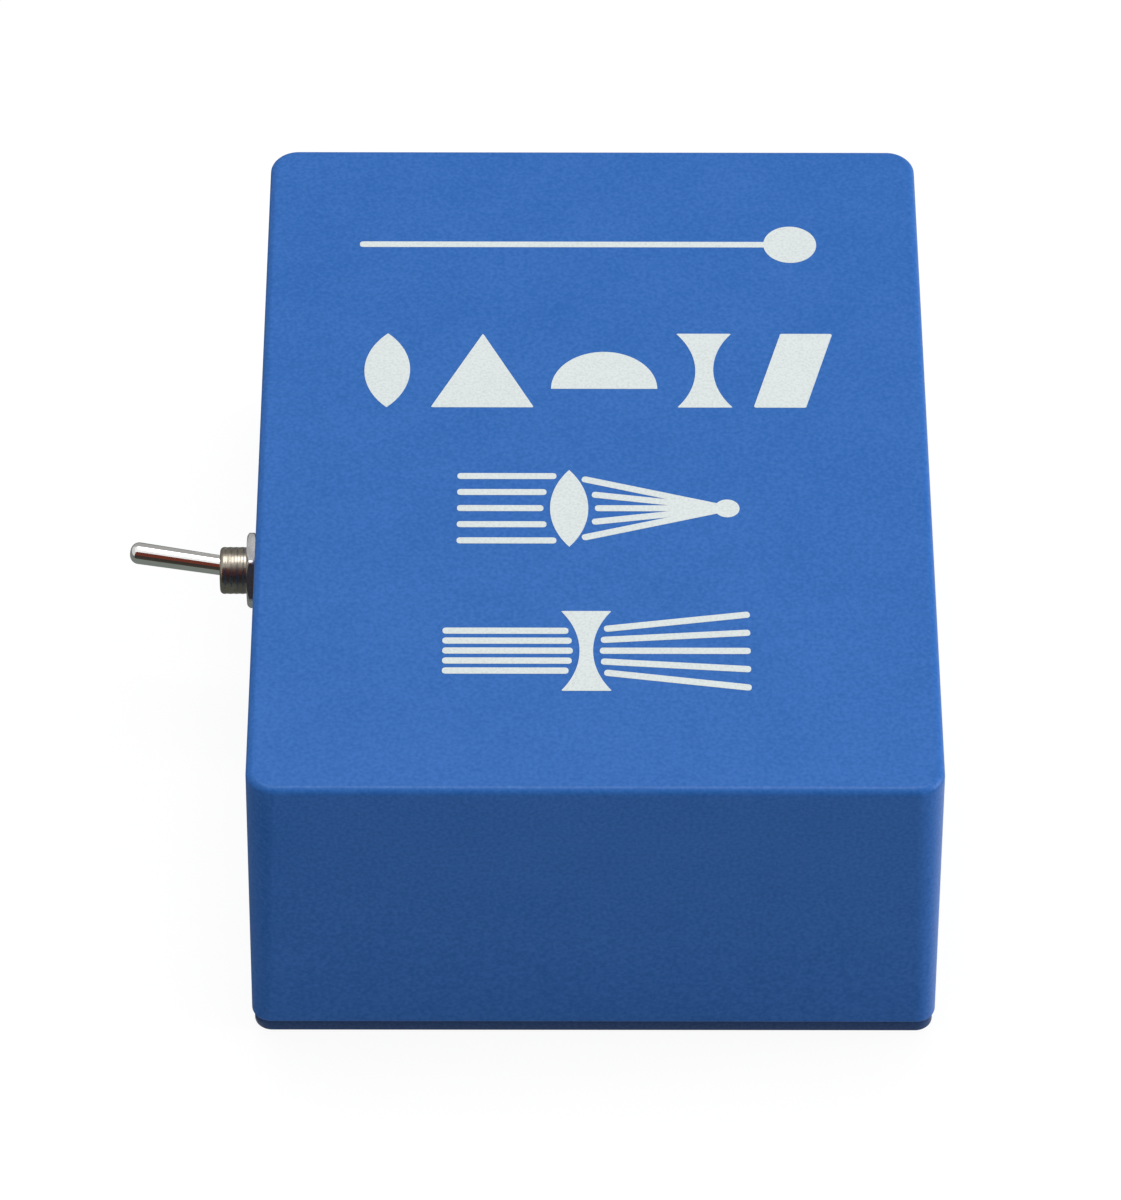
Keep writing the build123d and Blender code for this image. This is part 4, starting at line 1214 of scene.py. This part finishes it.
@dataclass
class LeverSwitch:
    """The lever switch: chrome lever, threaded bush, hexagon nut, toothed washer and the plunger's spring."""

    lever_length: float = 15.9 * MM
    tip_radius: float = 1.35 * MM
    tip_rounding: float = 1.05 * MM
    neck_radius: float = 1.2 * MM
    handle_steps: int = 12
    ball_radius: float = 2.1 * MM
    skirt_radius: float = 1.15 * MM
    skirt_length: float = 5.6 * MM
    bore_radius: float = 0.75 * MM
    bore_end: float = 1.4 * MM
    pin_hole_radius: float = 0.45 * MM
    thread_radius: float = 2.9 * MM
    thread_depth: float = 0.035 * MM
    thread_smooth: float = radians(50)
    thread_pitch: float = 0.75 * MM
    thread_steps: int = 10
    face: float = 4.4 * MM
    shoulder: float = -3.75 * MM
    bush_end: float = -4.55 * MM
    bush_edge: float = 0.5 * MM
    mouth_radius: float = 2.25 * MM
    mouth_edge: float = 0.05 * MM
    throat_radius: float = 1.75 * MM
    throat_end: float = 2.4 * MM
    spigot_radius: float = 2.7 * MM
    seat_radius: float = 2.15 * MM
    nut_flats: float = 8.6 * MM
    nut_chamfer: float = radians(30)
    nut_turn: float = radians(27)
    nut_edge: float = 0.3 * MM
    nut_edge_steps: int = 5
    nut_break: float = 0.06 * MM
    nut_clearance: float = 0.05 * MM
    nut_lead_in: float = 0.25 * MM
    washer_ring: float = 1.3 * MM
    washer_teeth: int = 12
    washer_tooth: float = 0.8 * MM
    washer_clearance: float = 0.15 * MM
    washer_edge: float = 0.1 * MM
    washer_inset: float = 0.02 * MM
    spring_radius: float = 0.48 * MM
    spring_wire: float = 0.12 * MM
    spring_height: float = 2.5 * MM
    spring_turns: int = 5
    plunger_travel: float = 0.4 * MM
    spring_room: float = 0.02 * MM

    def __post_init__(self) -> None:
        """Take the lever's pivot and direction from the frame's joints."""
        joints = {joint["name"]: joint for joint in frame["joints"]}
        self.pivot = Vector(joints["toggle"]["pos_m"])
        self.lever_way = Vector(joints["plunger_slide"]["axis"])
        self.outwards = Vector((-1, 0, 0))

    def seat(self, node: str) -> Tuple[Vector, float]:
        """The point on the bush's axis that a node's inner face has, and the node's thickness."""
        low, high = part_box(node)
        return Vector((high.x, self.pivot.y, self.pivot.z)), high.x - low.x

    def lever(self) -> Piece:
        """The lever: hollow skirt, ball, slim neck and a handle that widens to a round tip.

        Returns:
            The lever, leaning as at rest.
        """
        ball, tip = self.ball_radius, self.tip_radius
        skirt_turn = pi - atan2(self.skirt_radius, sqrt(ball**2 - self.skirt_radius**2))
        neck_turn = atan2(self.neck_radius, sqrt(ball**2 - self.neck_radius**2))
        handle_end = self.lever_length - self.tip_rounding
        neck_end = ball * cos(neck_turn)
        length, flare = handle_end - neck_end, tip - self.neck_radius
        shares = [i / self.handle_steps for i in range(1, self.handle_steps)]
        handle = [(neck_end + length * share, self.neck_radius + flare * share) for share in shares]
        profile = [
            (-self.bore_end, self.bore_radius),
            (-self.skirt_length, self.bore_radius),
            (-self.skirt_length, self.skirt_radius),
            *arc((0, 0), ball, skirt_turn, neck_turn, 20),
            *handle,
            *arc((handle_end, tip - self.tip_rounding), self.tip_rounding, pi / 2, 0, 12),
        ]
        lever = Bench.turned("chrome_lever", self.pivot, self.lever_way, profile, 72)
        reach = UP * 2 * ball
        hole = Bench.rod("pin_hole", self.pivot - reach, self.pivot + reach, self.pin_hole_radius, 24)
        Bench.put(lever, Merge.CUT, [hole])
        Bench.smooth(lever)
        return lever

    def bush(self) -> Piece:
        """The threaded bush: a ball seat and a flared mouth inside, fine round thread crests outside.

        Returns:
            The bush.
        """
        seat_end = sqrt(self.seat_radius**2 - self.throat_radius**2)
        seat_turn = atan2(self.throat_radius, seat_end)
        start = self.face - self.bush_edge
        steps = self.thread_steps
        turns = int((start - self.shoulder) / self.thread_pitch)
        shares = [i / steps for i in range(turns * steps + 1)]
        grooves = [self.thread_depth * sin(pi * share) ** 2 for share in shares]
        thread = [
            (start - self.thread_pitch * share, self.thread_radius - groove)
            for share, groove in zip(shares, grooves)
        ]
        profile = [
            (self.throat_end, self.throat_radius),
            (self.face - self.mouth_edge, self.mouth_radius),
            (self.face, self.mouth_radius + self.mouth_edge),
            *arc((start, self.thread_radius - self.bush_edge), self.bush_edge, 0, pi / 2, 6)[:-1],
            *thread,
            (self.shoulder, self.thread_radius),
            (self.shoulder, self.spigot_radius),
            (self.bush_end, self.spigot_radius),
            (self.bush_end, self.mouth_radius),
            (0, self.mouth_radius),
            *arc((0, 0), self.seat_radius, pi / 2, seat_turn, 8),
            (self.throat_end, self.throat_radius),
        ]
        bush = Bench.turned("threaded_bush", self.pivot, self.outwards, profile)
        Bench.smooth(bush, self.thread_smooth)
        return bush

    def nut(self) -> Piece:
        """The hexagon nut: a prism turned down to cones at both faces, then bored.

        Returns:
            The nut.
        """
        centre, thickness = self.seat("switch_nut")
        flat = self.nut_flats / 2
        corner = flat / cos(radians(30))
        chamfer = (corner - flat) * tan(self.nut_chamfer)
        start, end = centre - self.outwards * MM, centre + self.outwards * (thickness + MM)
        nut = Bench.rod("hexagon_nut", start, end, corner, 6, self.nut_turn)
        Bench.round_edges(nut, self.nut_edge, self.nut_edge_steps, lambda middle, way: abs(way.x) > 0.9)
        belly = corner + chamfer / 2 / tan(self.nut_chamfer)
        envelope = [
            (0, flat),
            (1.5 * chamfer, belly),
            (thickness - 1.5 * chamfer, belly),
            (thickness, flat),
        ]
        Bench.put(nut, Merge.TRIM, [Bench.turned("envelope", centre, self.outwards, envelope, 144)])
        bore, lead_in = self.thread_radius + self.nut_clearance, self.nut_lead_in
        hole = [
            (-lead_in, bore + 2 * lead_in),
            (lead_in, bore),
            (thickness - lead_in, bore),
            (thickness + lead_in, bore + 2 * lead_in),
        ]
        Bench.put(nut, Merge.CUT, [Bench.turned("bore", centre, self.outwards, hole, 72)])
        limit = {"limit_method": "ANGLE", "angle_limit": radians(25)}
        Bench.modify(nut, "BEVEL", width=self.nut_break, segments=2, **limit)
        Bench.smooth(nut)
        return nut

    def washer(self) -> Piece:
        """The toothed washer under the nut, with its edges stamped round.

        Returns:
            The washer.
        """
        centre, thickness = self.seat("lock_washer")
        low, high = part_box("lock_washer")
        radius = (high.z - low.z) / 2
        inner, edge = radius - self.washer_ring, self.washer_edge
        ring = [
            (0, inner),
            (0, radius),
            (thickness - edge, radius),
            (thickness - edge * 0.3, radius - edge * 0.3),
            (thickness, radius - edge),
            (thickness, inner),
            (0, inner),
        ]
        washer = Bench.turned("toothed_washer", centre, self.outwards, ring)
        tooth_end, half = self.thread_radius + self.washer_clearance, self.washer_tooth / 2
        low = Vector((self.washer_inset - thickness, tooth_end, -half))
        high = Vector((-self.washer_inset, inner + half, half))
        tooth = Bench.block("tooth", centre + low, centre + high)
        teeth = Bench.copies(tooth, [Vector()] * (self.washer_teeth - 1))
        for number, piece in enumerate(teeth):
            turn = 2 * pi * number / self.washer_teeth
            with Bench.picked(piece, Select.FACES, everything):
                bpy.ops.transform.rotate(value=turn, orient_axis="X", center_override=centre)
        Bench.put(washer, Merge.WELD, teeth)
        Bench.smooth(washer)
        return washer

    def fit_spring(self) -> None:
        """Wind the plunger's spring in the lever's bore, dress it and give it a mesh of its own."""
        seat, height = self.pivot - self.lever_way * self.bore_end, self.spring_height
        sizes = (self.spring_radius, self.spring_wire, height, self.spring_turns)
        spring = Bench.coil("plunger_coil", seat, -self.lever_way, *sizes)
        Bench.smooth(spring, self.thread_smooth)
        present(spring, "lever", FINISHES["spring_steel"], "plunger_spring")
        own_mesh(spring)


# ------------------------------------------------------------------------------------------ the print


@dataclass(frozen=True)
class LensOutline:
    """Outline of a printed lens, with round faces: thick in the middle, or thin where it has a waist."""

    height: float
    width: float
    waist: float = 0.0

    @property
    def bulge(self) -> float:
        """How far a face's middle stands from the line through the face's ends."""
        return (self.width - self.waist) / 2

    @property
    def radius(self) -> float:
        """Radius of the faces."""
        return ((self.height / 2) ** 2 + self.bulge**2) / (2 * self.bulge)

    def reach(self, level: float) -> float:
        """Distance from the lens's middle line to its face at a height over the axis."""
        sag = self.radius - sqrt(self.radius**2 - level**2)
        return self.waist / 2 + sag if self.waist else self.bulge - sag


@dataclass
class TopPrint:
    """The white print on the top: plain pictures from school optics, in one line and three rows."""

    ink: float = 0.04 * MM
    sunk: float = 0.03 * MM
    height: float = 13.0 * MM
    source_y: float = 37.5 * MM
    source_x: float = 24.6 * MM
    source_radius: float = 3.3 * MM
    source_ray_start: float = -29.1 * MM
    row_ys: Place = (14.9 * MM, -8.95 * MM, -32.65 * MM)
    ray_width: float = 1.0 * MM
    ray_levels: Tuple[float, ...] = (-1.0, -0.5, 0.0, 0.5, 1.0)
    ray_gap: float = 0.8 * MM
    focus_radius: float = 1.5 * MM
    corner: float = 0.25 * MM
    ray_rounding: float = 0.4 * MM
    thick_lens: Point = (-25.3 * MM, 5.6 * MM)  # place and width, also of the next four
    prism_end: Point = (-13.6 * MM, 12.6 * MM)
    half_round: Point = (1.3 * MM, 13.0 * MM)
    thin_lens: Point = (13.6 * MM, 6.8 * MM)
    glass_block: Point = (24.5 * MM, 6.4 * MM)
    thin_waist: float = 2.2 * MM
    block_lean: float = 3.4 * MM

    def build(self) -> List[Piece]:
        """Print the line and the three rows.

        Returns:
            One piece for the line and one for each row.
        """
        self.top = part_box("housing")[1].z
        return [
            self.source_line(),
            self.glass_row(self.row_ys[0]),
            self.gathering_row(self.row_ys[1]),
            self.spreading_row(self.row_ys[2]),
        ]

    def layer(self, x: float, y: float) -> Tuple[Vector, Vector]:
        """The lower and the upper end of the ink over a point of the top."""
        return Vector((x, y, self.top - self.sunk)), Vector((x, y, self.top + self.ink))

    def disc(self, x: float, y: float, radius: float, sides: int = 160) -> Piece:
        """A round dot."""
        below, above = self.layer(x, y)
        return Bench.rod("disc", below, above, radius, sides)

    def bar(self, start: Point, end: Point, width: float, corner: float) -> Piece:
        """A straight bar with softened corners.

        Args:
            start: Where its middle line starts.
            end: Where it ends.
            width: The bar's width.
            corner: Radius of its corners.

        Returns:
            The bar.
        """
        run = Vector(end) - Vector(start)
        below, above = self.layer((start[0] + end[0]) / 2, (start[1] + end[1]) / 2)
        half = Vector((run.length / 2, width / 2, 0))
        made = Bench.block("bar", below - half, above + half, atan2(run.y, run.x))
        Bench.round_edges(made, corner, 4, upright)
        return made

    def upright_block(self, x: float, y: float, width: float) -> Piece:
        """An upright block of the row's height."""
        half = self.height / 2
        return self.bar((x, y - half), (x, y + half), width, self.corner)

    def ray(self, start: Point, end: Point) -> Piece:
        """One thin ray with rounded ends."""
        return self.bar(start, end, self.ray_width, self.ray_rounding)

    def lens(self, x: float, y: float, outline: LensOutline) -> Piece:
        """A lens seen from its edge.

        Args:
            x: Place of its middle line.
            y: Height of its axis.
            outline: Its outline.

        Returns:
            What two round dots share, or for a lens with a waist a block with two round bites.
        """
        if not outline.waist:
            offset = outline.radius - outline.bulge
            made = self.disc(x - offset, y, outline.radius, 240)
            Bench.put(made, Merge.TRIM, [self.disc(x + offset, y, outline.radius, 240)])
            return made
        made = self.upright_block(x, y, outline.width)
        offset = outline.waist / 2 + outline.radius
        for side in (-1, 1):
            below, above = self.layer(x + side * offset, y)
            bite = Bench.rod("bite", below - UP * MM, above + UP * MM, outline.radius, 240)
            Bench.put(made, Merge.CUT, [bite])
        return made

    def prism(self, x: float, y: float, width: float) -> Piece:
        """A three-sided prism, seen from its end.

        Args:
            x: Place of its middle line.
            y: The row's height.
            width: Its width.

        Returns:
            The prism.
        """
        radius = self.height * 2 / 3
        below, above = self.layer(x, y - self.height / 2 + radius / 2)
        made = Bench.rod("prism", below, above, radius, 3, pi)
        squeeze = width / (radius * sqrt(3))
        Bench.stretch(made, Select.FACES, everything, (squeeze, 1, 1), (x, y, self.top))
        Bench.round_edges(made, self.corner, 4, upright)
        return made

    def half_disc(self, x: float, y: float, radius: float) -> Piece:
        """A half-round block, flat side down.

        Args:
            x: Place of its middle line.
            y: The row's height.
            radius: Its radius.

        Returns:
            The block.
        """
        flat = y - radius / 2
        made = self.disc(x, flat, radius)
        with Bench.picked(made, Select.FACES, everything):
            place = (x, flat, self.top)
            bpy.ops.mesh.bisect(plane_co=place, plane_no=(0, 1, 0), use_fill=True, clear_inner=True)
        return made

    def leaning_block(self, x: float, y: float, width: float, lean: float) -> Piece:
        """A glass block whose upper end is moved to the right.

        Args:
            x: Place of its middle.
            y: The row's height.
            width: Its width.
            lean: How far its upper end is moved.

        Returns:
            The block.
        """
        made = self.upright_block(x - lean / 2, y, width)
        upper = y + self.height / 4
        with Bench.picked(made, Select.FACES, lambda middle, normal: middle.y > upper):
            bpy.ops.transform.translate(value=(lean, 0, 0))
        return made

    def source_line(self) -> Piece:
        """One long thin ray from a round source.

        Returns:
            The line.
        """
        start, source = (self.source_ray_start, self.source_y), (self.source_x, self.source_y)
        dot = self.disc(*source, self.source_radius)
        Bench.put(dot, Merge.WELD, [self.ray(start, source)])
        return Bench.join("print_source_line", [dot])

    def glass_row(self, y: float) -> Piece:
        """Five pieces of glass: two lenses, a prism, a half-round block and a leaning block.

        Args:
            y: The row's height.

        Returns:
            The row.
        """
        thick_x, thick = self.thick_lens
        prism_x, prism = self.prism_end
        round_x, across = self.half_round
        thin_x, thin = self.thin_lens
        block_x, block = self.glass_block
        row = [
            self.lens(thick_x, y, LensOutline(self.height, thick)),
            self.prism(prism_x, y, prism),
            self.half_disc(round_x, y, across / 2),
            self.lens(thin_x, y, LensOutline(self.height, thin, self.thin_waist)),
            self.leaning_block(block_x, y, block, self.block_lean),
        ]
        return Bench.join("print_glass_row", row)

    def gathering_row(self, y: float) -> Piece:
        """Five level rays that a lens gathers in one point.

        Args:
            y: The row's height.

        Returns:
            The row.
        """
        middle, left, focus = -3.0 * MM, -16.5 * MM, 16.0 * MM
        outline = LensOutline(self.height, 4.6 * MM)
        spread = 0.42 * self.height
        focal_dot = self.disc(focus, y, self.focus_radius)
        level_rays = []
        for share in self.ray_levels:
            level = share * spread
            edge = outline.reach(level) + self.ray_gap
            level_rays.append(self.ray((left, y + level), (middle - edge, y + level)))
            start = (middle + edge, y + level * (1 - edge / (focus - middle)))
            Bench.put(focal_dot, Merge.WELD, [self.ray(start, (focus, y))])
        return Bench.join("print_gathering_row", [focal_dot, self.lens(middle, y, outline), *level_rays])

    def spreading_row(self, y: float) -> Piece:
        """Five level rays that a lens spreads.

        Args:
            y: The row's height.

        Returns:
            The row.
        """
        middle, left, right = -1.0 * MM, -18.0 * MM, 18.4 * MM
        outline = LensOutline(self.height, 6.0 * MM, 1.6 * MM)
        spread, widened = 0.25 * self.height, 0.46 * self.height
        parts = [self.lens(middle, y, outline)]
        for share in self.ray_levels:
            level, end = share * spread, share * widened
            edge = outline.reach(level) + self.ray_gap
            parts.append(self.ray((left, y + level), (middle - edge, y + level)))
            start = level + (end - level) * edge / (right - middle)
            parts.append(self.ray((middle + edge, y + start), (right, y + end)))
        return Bench.join("print_spreading_row", parts)


# ------------------------------------------------------------------------------------- inner pieces


def dress_inner_pieces(shown_elsewhere: Sequence[str]) -> None:
    """Give every CAD node that stays its finish.

    Args:
        shown_elsewhere: Nodes that a modelled piece stands for.
    """
    for part in frame["record"]["subparts"]:
        name = part["node"]
        if name in shown_elsewhere:
            continue
        finish = FINISHES[part["material_slot"]]
        for holder in frame["nodes"][name].material_slots:
            holder.material = finish.material()
        log.info("%s keeps its CAD mesh: %s", name, finish.name)


# ------------------------------------------------------------------------------------------- studio


CARD_FOOT, CARD_TOP = -0.09 * MM, -0.05 * MM  # of the cards that lie between the floor and the box


@dataclass(frozen=True)
class Card:
    """A card that only mirrors in metal and gloss: its corners, and its colour as light."""

    name: str
    low: Place
    high: Place
    colour: Colour


@dataclass
class Studio:
    """Plain floor, soft light from above, cards round the table and the photograph's camera."""

    floor_size: float = 12.0
    floor_drop: float = 0.1 * MM
    paper: Colour = (0.48, 0.48, 0.48, 1.0)
    paper_share: float = 0.25
    glow: float = 1.21
    ambient: float = 0.5
    key_power: float = 10.5
    key_size: float = 0.8
    key_place: Place = (0.0, 0.35, 1.5)
    side_power: float = 14.0
    side_size: float = 0.9
    side_place: Place = (1.5, -0.1, 0.5)
    cards: Tuple[Card, ...] = (
        Card("back_card", (-2.0, 1.6, 0.0), (2.0, 1.61, 2.2), (0.42, 0.41, 0.4, 1.0)),
        Card("left_card", (-1.61, -1.0, 0.0), (-1.6, 1.6, 1.6), (0.7, 0.7, 0.69, 1.0)),
        Card("warm_card", (-1.8, -1.31, 0.58), (1.8, -1.3, 2.3), (0.16, 0.038, 0.024, 1.0)),
        Card("dark_card", (-1.8, -1.31, 0.0), (1.8, -1.3, 0.58), (0.042, 0.035, 0.03, 1.0)),
        Card(
            "far_table_card",
            (-1.6, -1.3, CARD_FOOT),
            (-0.041, -0.065, CARD_TOP),
            (0.05, 0.045, 0.034, 1.0),
        ),
        Card("table_card", (-1.6, -0.065, CARD_FOOT), (-0.041, 1.6, CARD_TOP), (0.2, 0.22, 0.2, 1.0)),
        Card(
            "front_table_card",
            (-0.041, -1.3, CARD_FOOT),
            (1.6, -0.0562, CARD_TOP),
            (0.45, 0.46, 0.46, 1.0),
        ),
    )
    camera_place: Place = (-5.246 * MM, -603.497 * MM, 640.916 * MM)
    camera_drop: float = radians(45.935)
    camera_yaw: float = radians(0.119)
    camera_roll: float = radians(0.162)
    focal_length: float = 210.265
    sensor: float = 36.0

    def build(self) -> None:
        """Set up camera, lights, floor, cards and world, and the plain view of colours."""
        self.add_camera()
        self.add_lamp("overhead_softbox", self.key_place, self.key_power, self.key_size)
        self.add_lamp("side_softbox", self.side_place, self.side_power, self.side_size)
        self.add_floor()
        for card in self.cards:
            self.add_card(card)
        self.set_world()
        bpy.context.scene.view_settings.view_transform = "Standard"

    def add_camera(self) -> None:
        """Place the camera where the photograph was taken from."""
        drop, yaw, roll = self.camera_drop, self.camera_yaw, self.camera_roll
        forward = Vector((sin(yaw) * cos(drop), cos(yaw) * cos(drop), -sin(drop)))
        level = Vector((cos(yaw), -sin(yaw), 0))
        upright = level.cross(forward)
        right = level * cos(roll) + upright * sin(roll)
        up = upright * cos(roll) - level * sin(roll)
        lens = bpy.data.cameras.new("photo_camera")
        lens.sensor_width = self.sensor
        lens.lens = self.focal_length
        lens.clip_end = 50
        camera = bpy.data.objects.new("photo_camera", lens)
        turn = Matrix((right, up, -forward)).transposed().to_4x4()
        camera.matrix_world = Matrix.Translation(self.camera_place) @ turn
        bpy.context.scene.collection.objects.link(camera)
        bpy.context.scene.camera = camera

    def add_lamp(self, name: str, place: Sequence[float], power: float, size: float) -> None:
        """Add a square soft lamp that points at the box and doesn't show through the lenses.

        Args:
            name: The lamp's name.
            place: Where it hangs.
            power: Its power in watts.
            size: Length of its sides.
        """
        lamp = bpy.data.lights.new(name, "AREA")
        lamp.energy = power
        lamp.size = size
        holder = bpy.data.objects.new(name, lamp)
        spot = Vector(place)
        turn = spot.to_track_quat("Z", "Y").to_matrix().to_4x4()
        holder.matrix_world = Matrix.Translation(spot) @ turn
        holder.visible_transmission = False
        bpy.context.scene.collection.objects.link(holder)

    def add_floor(self) -> None:
        """A plain pale floor that shows white and still takes the box's shadow."""
        bpy.ops.mesh.primitive_plane_add(size=self.floor_size, location=(0, 0, -self.floor_drop))
        floor = Bench.settle("studio_floor")
        sheet = Sheet(bpy.data.materials.new("pale_floor"))
        paper = sheet.node("ShaderNodeBsdfDiffuse", inputs={"Color": self.paper})
        white = sheet.node("ShaderNodeEmission", inputs={"Color": WHITE, "Strength": self.glow})
        share = sheet.background_seen() * (1 - self.paper_share)
        sheet.close(sheet.blend(share, paper, white))
        floor.data.materials.append(sheet.owner)

    def add_card(self, card: Card) -> None:
        """Stand up a card that metal and gloss mirror, and that nothing else sees.

        Args:
            card: The card.
        """
        piece = Bench.block(card.name, Vector(card.low), Vector(card.high))
        sheet = Sheet(bpy.data.materials.new(card.name))
        sheet.close(sheet.node("ShaderNodeEmission", inputs={"Color": card.colour, "Strength": 1.0}))
        sheet.owner.cycles.emission_sampling = "NONE"
        piece.data.materials.append(sheet.owner)
        piece.visible_camera = piece.visible_diffuse = False
        piece.visible_shadow = piece.visible_transmission = False

    def set_world(self) -> None:
        """A world that shows white and lights the box from all round at a plain level."""
        world = bpy.data.worlds.new("studio_world")
        bpy.context.scene.world = world
        sheet = Sheet(world)
        soft, white = (
            sheet.node("ShaderNodeBackground", inputs={"Color": WHITE, "Strength": strength})
            for strength in (self.ambient, 1.0)
        )
        sheet.close(sheet.blend(sheet.background_seen(), soft, white), "ShaderNodeOutputWorld")


# --------------------------------------------------------------------------------------------- main


def main() -> None:
    """Build, dress and light the ray box."""
    logging.basicConfig(level=logging.INFO, format="%(message)s")
    Studio().build()
    switch = LeverSwitch()
    rows = (
        (CaseShell().build, "case", "case_plastic", BLUE_ABS, "housing"),
        # The cover's finish carries painted shade: its blue is darkened for the shade at the foot of the walls.
        (BaseCover().build, "case", "case_plastic", SHADE_DARKENED_COVER_ABS, "base_cover"),
        (CoverScrews().build, "case", "zinc_steel", FINISHES["zinc_steel"], "cover_screws"),
        (switch.lever, "lever", "chrome", CHROME, "toggle_lever"),
        (switch.bush, "case", "nickel", AGED_NICKEL, "switch_bush"),
        (switch.nut, "case", "nickel", NICKEL, "switch_nut"),
        (switch.washer, "case", "nickel", NICKEL, "lock_washer"),
    )
    for build, body, slot, finish, node in rows:
        present(build(), body, finish, node)
    switch.fit_spring()
    for piece in TopPrint().build():
        present(piece, "case", WHITE_INK)
    dress_inner_pieces([node for *_, node in rows] + ["plunger_spring"])


if __name__ == "__main__":
    main()
